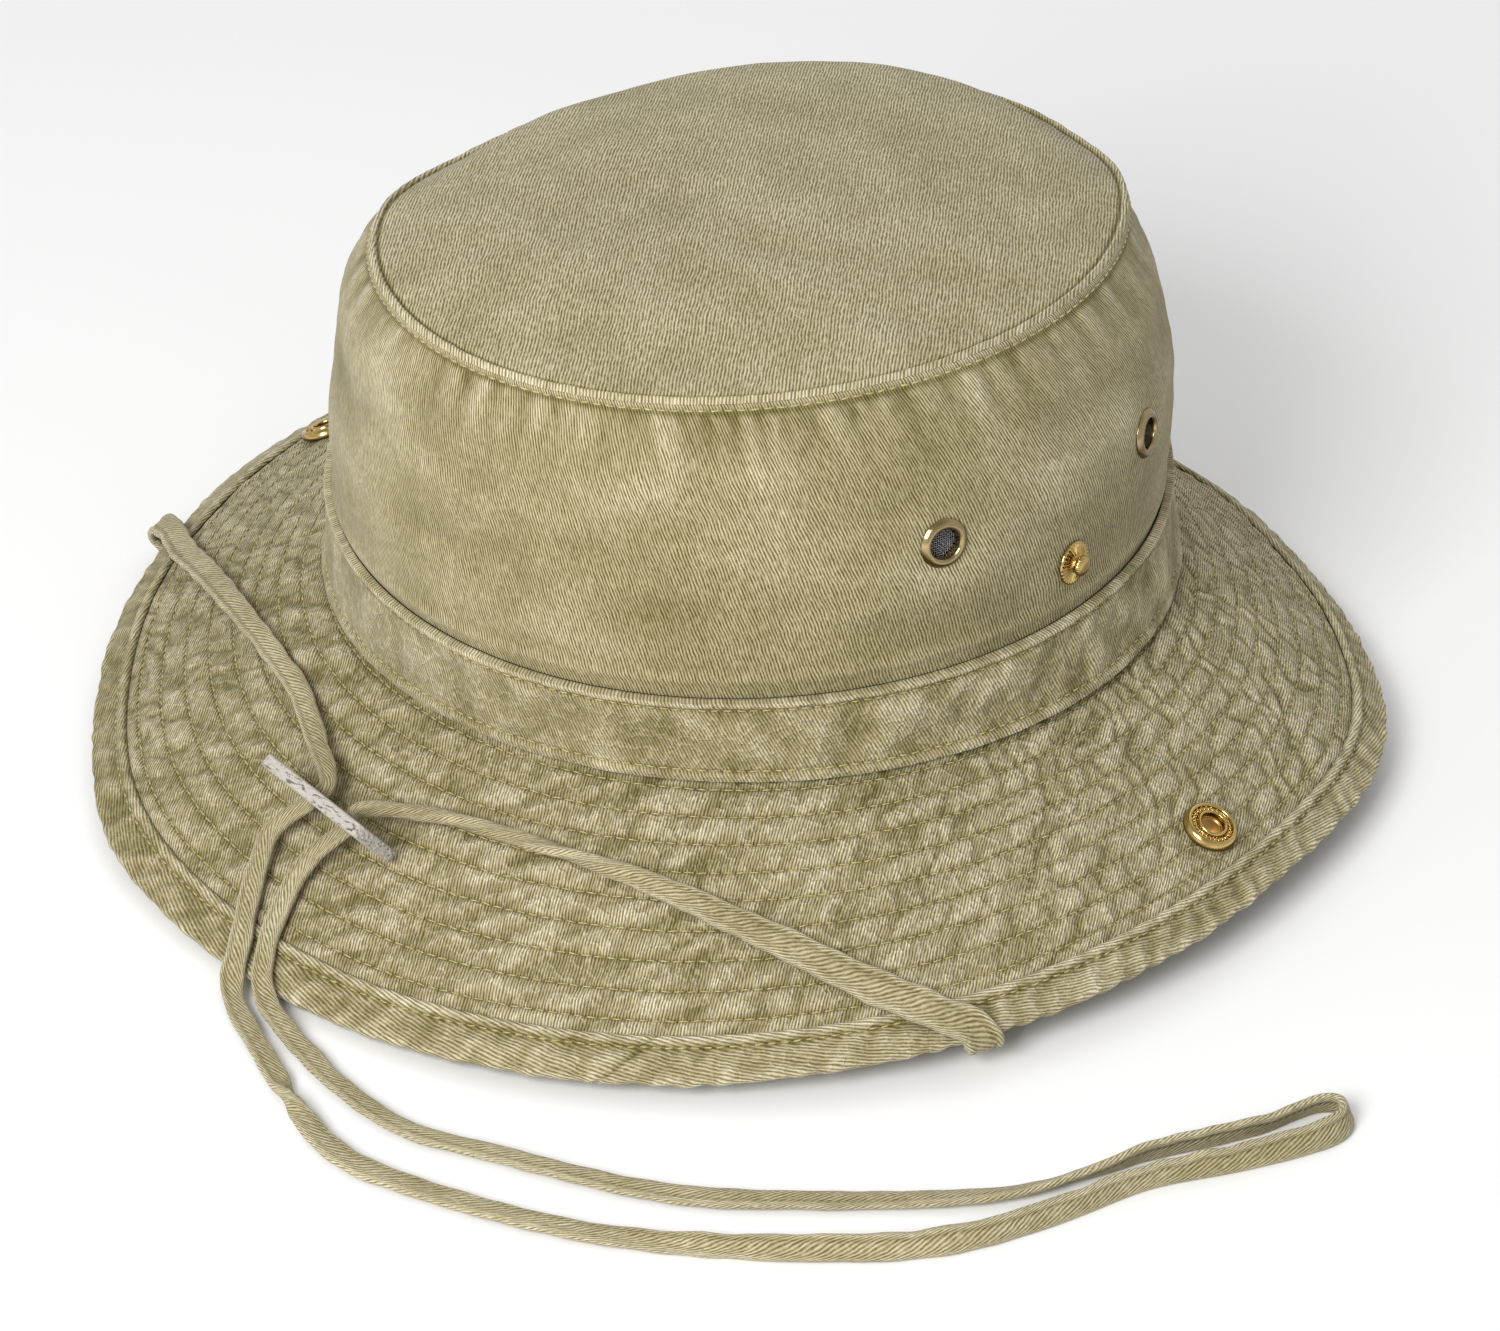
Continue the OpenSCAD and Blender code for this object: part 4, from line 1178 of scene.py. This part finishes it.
def make_sweatband():
    level = np.linspace(0.03, 1.18, 26)[None, :]
    a = AZ[::2, None] + 0 * level
    soft = 0.35 * noise(a / TAU * 40, level * 4, 101, 40)
    outer = crown_at(level + 0 * a, a, -1.35)
    inner = crown_at(level + 0 * a, a, -2.3)
    inward = -grid_normals(inner, True)
    roll = 0.5 * bump(level, 1.12, 0.05)
    inner = inner + (soft * 0.5 + roll)[..., None] * inward
    uv = ring_uv(AZ[::2], 590, level * BAND_H)
    piece = cloth("sweatband_cloth", inner, outer, uv, LINING, 0.5 + 0.3 * soft, flip=True)
    belongs(piece, "hat", "sweatband")


# ---- Brass ----
def moved(points, place):
    """Points moved by a 4 x 4 matrix."""
    matrix = np.array(place)
    return np.array(points) @ matrix[:3, :3].T + matrix[:3, 3]


def lathe(name, profile, place, material, sides=72, shape=None):
    """A turned piece about +Z: profile is (radius, height) in mm, shape(angle, radius, height)
    may move its points. The profile starts and ends on the axis, or it is closed."""
    profile = np.array(profile, float)
    k = np.arange(sides) / sides * TAU
    r, z, turn = profile[None, :, 0] + 0 * k[:, None], profile[None, :, 1] + 0 * k[:, None], k[:, None]
    if shape:
        r, z = shape(turn, r, z)
    co = np.stack([r * np.cos(turn), r * np.sin(turn), z], -1)
    n = len(profile)
    on_axis = profile[0, 0] < 1e-6
    faces = []
    last = n - 1 if on_axis else n
    for i in range(sides):
        i2 = (i + 1) % sides
        for j in range(last):
            j2 = (j + 1) % n
            quad = [i * n + j, i2 * n + j, i2 * n + j2, i * n + j2]
            if on_axis and j == 0:
                quad = [0, i2 * n + 1, i * n + 1]
            elif on_axis and j == n - 2:
                quad = [i * n + j, i2 * n + j, n - 1]
            faces.append(quad)
    world = moved(co.reshape(-1, 3), place)
    if place.determinant() < 0:
        faces = [f[::-1] for f in faces]
    used = sorted({v for f in faces for v in f})
    index = {v: i for i, v in enumerate(used)}
    faces = [[index[v] for v in f] for f in faces]
    return add_mesh(name, world[used], faces, None, None, None, material)


def place_matrix(middle, outward):
    z = Vector(outward).normalized()
    x = Vector((0, 0, 1)).cross(z).normalized()
    y = z.cross(x)
    matrix = Matrix((x, y, z)).transposed().to_4x4()
    matrix.translation = Vector(middle)
    return matrix


def rounded(points, radius=0.15, steps=3):
    """Round the corners of a closed or open profile a little."""
    p = np.array(points, float)
    out = []
    n = len(p)
    for i in range(n):
        prev, here, after = p[i - 1], p[i], p[(i + 1) % n]
        ends = (i == 0 or i == n - 1) and p[0, 0] < 1e-6
        if ends:
            out.append(here)
            continue
        a, b = prev - here, after - here
        la, lb = np.linalg.norm(a), np.linalg.norm(b)
        reach = min(radius, 0.45 * la, 0.45 * lb)
        start, end = here + a / la * reach, here + b / lb * reach
        for t in np.linspace(0, 1, steps):
            out.append((1 - t) ** 2 * start + 2 * t * (1 - t) * here + t * t * end)
    return np.array(out)


def join(name, objects):
    """Several meshes as one piece, keeping their materials."""
    mesh = bpy.data.meshes.new(name)
    co, faces, slots, materials = [], [], [], []
    offset = 0
    for obj in objects:
        data = obj.data
        if data.materials[0] not in materials:
            materials.append(data.materials[0])
        co += [tuple(v.co) for v in data.vertices]
        faces += [[v + offset for v in f.vertices] for f in data.polygons]
        slots += [materials.index(data.materials[0])] * len(data.polygons)
        offset += len(data.vertices)
        bpy.data.objects.remove(obj)
    mesh.from_pydata(co, [], faces)
    for material in materials:
        mesh.materials.append(material)
    mesh.polygons.foreach_set("material_index", slots)
    mesh.polygons.foreach_set("use_smooth", np.ones(len(faces), bool))
    piece = bpy.data.objects.new(name, mesh)
    bpy.context.scene.collection.objects.link(piece)
    return piece


SCREEN_DEEP = 1.25            # mm under the cloth's face
WIRE_PITCH, WIRE_R = 0.52, 0.12


def make_vents():
    ring = rounded([
        (VENT_R, -2.2), (VENT_R, 0.7), (VENT_R + 0.35, 1.15), (VENT_R + 1.0, 1.3),
        (VENT_R + 1.7, 0.9), (EYELET_R, 0.3), (EYELET_R, 0.1), (EYELET_R - 0.3, -0.05),
        (VENT_R + 0.5, -0.05), (VENT_R + 0.5, -2.2)], 0.3, 4)
    washer = rounded([
        (VENT_R + 0.6, -2.2), (VENT_R + 0.6, -1.7), (EYELET_R - 0.5, -1.7), (EYELET_R - 0.5, -2.0),
        (VENT_R + 1.2, -2.35)], 0.12)
    places = [place_matrix(*vent_place(azimuth)) for azimuth in VENTS]
    eyelets = [lathe("eyelet", ring, place, BRASS_PAINTED_DARK, 96) for place in places]
    washers = [lathe("washer", washer, place, BRASS_PAINTED_DARK) for place in places]
    wires = [woven_screen(place) for place in places]
    belongs(join("eyelets", eyelets), "hat", "vent_eyelets")
    belongs(join("washers", washers), "hat", "vent_washers")
    belongs(join("screens", wires), "hat", "vent_screens")


def woven_screen(place):
    """A disc of woven wire: square tubes that pass over and under each other."""
    reach = VENT_R - 0.02
    count = int(reach / WIRE_PITCH)
    co, faces = [], []
    for turn in (0, 1):
        for i in range(-count, count + 1):
            half = math.sqrt(max(reach ** 2 - (i * WIRE_PITCH) ** 2, 0.01))
            at = np.linspace(-half, half, max(5, int(half * 4 / WIRE_PITCH)))
            z = 0.10 * np.cos(math.pi * (at / WIRE_PITCH + i + turn)) - SCREEN_DEEP
            base = len(co)
            for x, height in zip(at, z):
                for dx, dz in ((-WIRE_R, 0), (0, WIRE_R), (WIRE_R, 0), (0, -WIRE_R)):
                    y = i * WIRE_PITCH + dx
                    co.append((y, x, height + dz) if turn else (x, y, height + dz))
            for j in range(len(at) - 1):
                for k in range(4):
                    a, b = base + j * 4 + k, base + j * 4 + (k + 1) % 4
                    faces.append([b, a, a + 4, b + 4] if turn else [a, b, b + 4, a + 4])
            faces.append([base + k for k in (3, 2, 1, 0)])
            faces.append([base + (len(at) - 1) * 4 + k for k in range(4)])
    return add_mesh("screen", moved(co, place), faces, None, None, None, SCREEN)


STUD_RIBS = 28


def sunburst(turn, r, z):
    """Fine rays on the stud's flange."""
    share = smooth(r, 1.9, 2.6) * smooth(r, 4.7, 4.2) * (z > 0.3)
    ray = np.sin(STUD_RIBS * turn)
    return r, z + 0.20 * share * np.sign(ray) * np.abs(ray) ** 0.6


def make_stud(side):
    place = (snap_matrix(side, FOLD_ANGLE) @ Matrix.Translation((0, 0, STUD_GAP))
             @ Matrix.Scale(-1, 4, Vector((0, 0, 1))))
    stud = lathe(f"{side}_press_stud", [
        (0, -3.7), (1.0, -3.7), (1.0, 0.0), (4.6, 0.0), (4.9, 0.15), (4.9, 0.5), (4.6, 0.72),
        (4.2, 0.62), (3.4, 0.78), (2.6, 0.9), (2.0, 0.98), (1.7, 1.1), (1.6, 1.5), (1.75, 1.75),
        (2.15, 2.0), (BALL_R, 2.3), (BALL_R, 2.65), (2.1, 3.05), (1.7, 3.32), (1.1, 3.48),
        (0.5, 3.53), (0, 3.54)], place, BRASS, 224, sunburst)
    back = lathe(f"{side}_press_stud_back", rounded([
        (0, -4.0), (3.2, -4.0), (4.4, -3.7), (4.5, -3.3), (4.3, -2.85), (1.2, -2.85),
        (1.2, -3.75), (0, -3.75)], 0.2), place, BRASS)
    belongs(stud, "hat", f"{side}_stud")
    belongs(back, "hat", f"{side}_stud_back")


MOUTH_R = BALL_R + 0.4
BEADS, BEAD_RING, BEAD_HIGH = 26, 4.12, 0.38


def make_socket(side):
    """The socket: a rounded rim round a groove with beads, an inner ring and its mouth."""
    place = snap_matrix(side, 0)
    rim = [(MOUTH_R, -0.1), (6.1, -0.1), (6.25, 0.3), (6.2, 0.8), (5.9, 1.5), (5.4, 2.0),
           (4.95, 2.05), (4.75, 1.8), (4.6, 1.35), (3.65, 1.35), (3.5, 1.75), (3.35, 2.2),
           (3.1, 2.4), (2.85, 2.35), (MOUTH_R, 2.05)]
    parts = [lathe("rim", rounded(rim, 0.14), place, BRASS, 96)]
    for i in range(BEADS):
        turn = i / BEADS * TAU
        middle = (BEAD_RING * math.cos(turn), BEAD_RING * math.sin(turn), 1.4)
        size = 0.34 if i % 3 else 0.42
        dome = [(size * math.sin(q), BEAD_HIGH * math.cos(q)) for q in (1.45, 1.0, 0.5)]
        parts.append(lathe("bead", [(0, -0.1), (size, -0.1), *dome, (0, BEAD_HIGH)],
                           place @ Matrix.Translation(middle), BRASS, 12))
    parts.append(lathe("cup", [
        (0, -0.1), (MOUTH_R, -0.1), (MOUTH_R + 0.05, 0.0), (MOUTH_R, 1.0), (MOUTH_R - 0.05, 0.4),
        (MOUTH_R - 0.25, 0.15), (0, 0.15)], place, BRASS_DEEP, 64))
    belongs(join(f"{side}_snap_socket", parts), f"{side}_flap", f"{side}_socket")
    cap = lathe(f"{side}_snap_cap", rounded([
        (0, -4.55), (2.5, -4.52), (5.0, -4.3), (6.0, -3.8), (6.2, -3.4), (6.0, -3.1), (2.3, -3.1),
        (2.3, -0.2), (1.8, -0.2), (1.8, -1.2), (0, -1.2)], 0.2), place, BRASS, 96)
    belongs(cap, f"{side}_flap", f"{side}_socket_cap")


# ---- Slider ----
def make_slider():
    """Raw suede: the CAD plate, softened and roughened, pale on its cut edges."""
    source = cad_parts["cord_slider"]
    piece = bpy.data.objects.new("suede_slider", source.data.copy())
    bpy.context.scene.collection.objects.link(piece)
    piece.data.materials.clear()
    piece.data.materials.append(SUEDE)
    remesh = piece.modifiers.new("remesh", "REMESH")
    remesh.mode = "VOXEL"
    remesh.voxel_size = 0.32 * MM
    soften = piece.modifiers.new("soften", "SMOOTH")
    soften.factor, soften.iterations = 0.5, 5
    bpy.context.view_layer.update()
    shaped = bpy.data.meshes.new_from_object(piece.evaluated_get(bpy.context.evaluated_depsgraph_get()))
    piece.modifiers.clear()
    piece.data = shaped
    co = np.array([v.co for v in shaped.vertices]) / MM
    n = np.array([v.normal for v in shaped.vertices])
    thin = np.linalg.svd(co - co.mean(0), full_matrices=False)[2][2]
    edge = 1 - np.abs(n @ thin)
    x, y, z = co.T
    rough = 0.13 * noise(x * 1.7 + z, y * 1.7, 111) + 0.07 * noise(x * 4, y * 4 + z * 3, 112)
    co = co + n * (rough * (0.5 + edge))[:, None]
    shaped.vertices.foreach_set("co", (co * MM).ravel())
    shaped.attributes.new("wear_and_shade", "FLOAT", "POINT").data.foreach_set(
        "value", smooth(edge, 0.35, 0.8).astype(np.float32))
    shaped.polygons.foreach_set("use_smooth", np.ones(len(shaped.polygons), bool))
    belongs(piece, "slider", "cord_slider")


make_brim()
make_binding()
make_crown_side()
make_crown_tip()
make_seam_tape()
make_band()
make_sweatband()
make_vents()
for which in SIDES:
    make_stud(which)
    make_socket(which)
make_slider()


# ---- Floor and light ----
def add_floor():
    mesh = bpy.data.meshes.new("floor")
    mesh.from_pydata([(-4, -4, 0), (4, -4, 0), (4, 4, 0), (-4, 4, 0)], [], [(0, 1, 2, 3)])
    floor = bpy.data.objects.new("floor", mesh)
    bpy.context.scene.collection.objects.link(floor)
    s = Shader("pale_floor", Roughness=0.9)
    where = s.place()
    s.link("Base Color", s.mix(s.noise(where, 3.0, 2.0), (0.90, 0.90, 0.90), (0.93, 0.93, 0.93)))
    mesh.materials.append(s.material)


LIGHT_AWAY = 1.4              # metres from the hat's middle
HAT_MIDDLE = Vector((0, 0, 0.06))
STUDIO_LIGHT = 0.55           # strength of the even light from all round


def add_light(name, towards, energy, size):
    """A soft square light on one side of the hat, facing it."""
    data = bpy.data.lights.new(name, "AREA")
    data.energy, data.size = energy, size
    light = bpy.data.objects.new(name, data)
    bpy.context.scene.collection.objects.link(light)
    away = Vector(towards).normalized()
    light.location = HAT_MIDDLE + away * LIGHT_AWAY
    light.rotation_euler = away.to_track_quat("Z", "Y").to_euler()


add_floor()
add_light("key", (0.25, -1.1, 0.75), 17, 0.6)
add_light("top", (-0.3, 0.5, 1.0), 3, 1.2)
world = bpy.data.worlds.new("studio")
bpy.context.scene.world = world
world.use_nodes = True
world.node_tree.nodes["Background"].inputs[0].default_value = (1, 1, 1, 1)
world.node_tree.nodes["Background"].inputs[1].default_value = STUDIO_LIGHT
bpy.context.scene.view_settings.view_transform = "Standard"
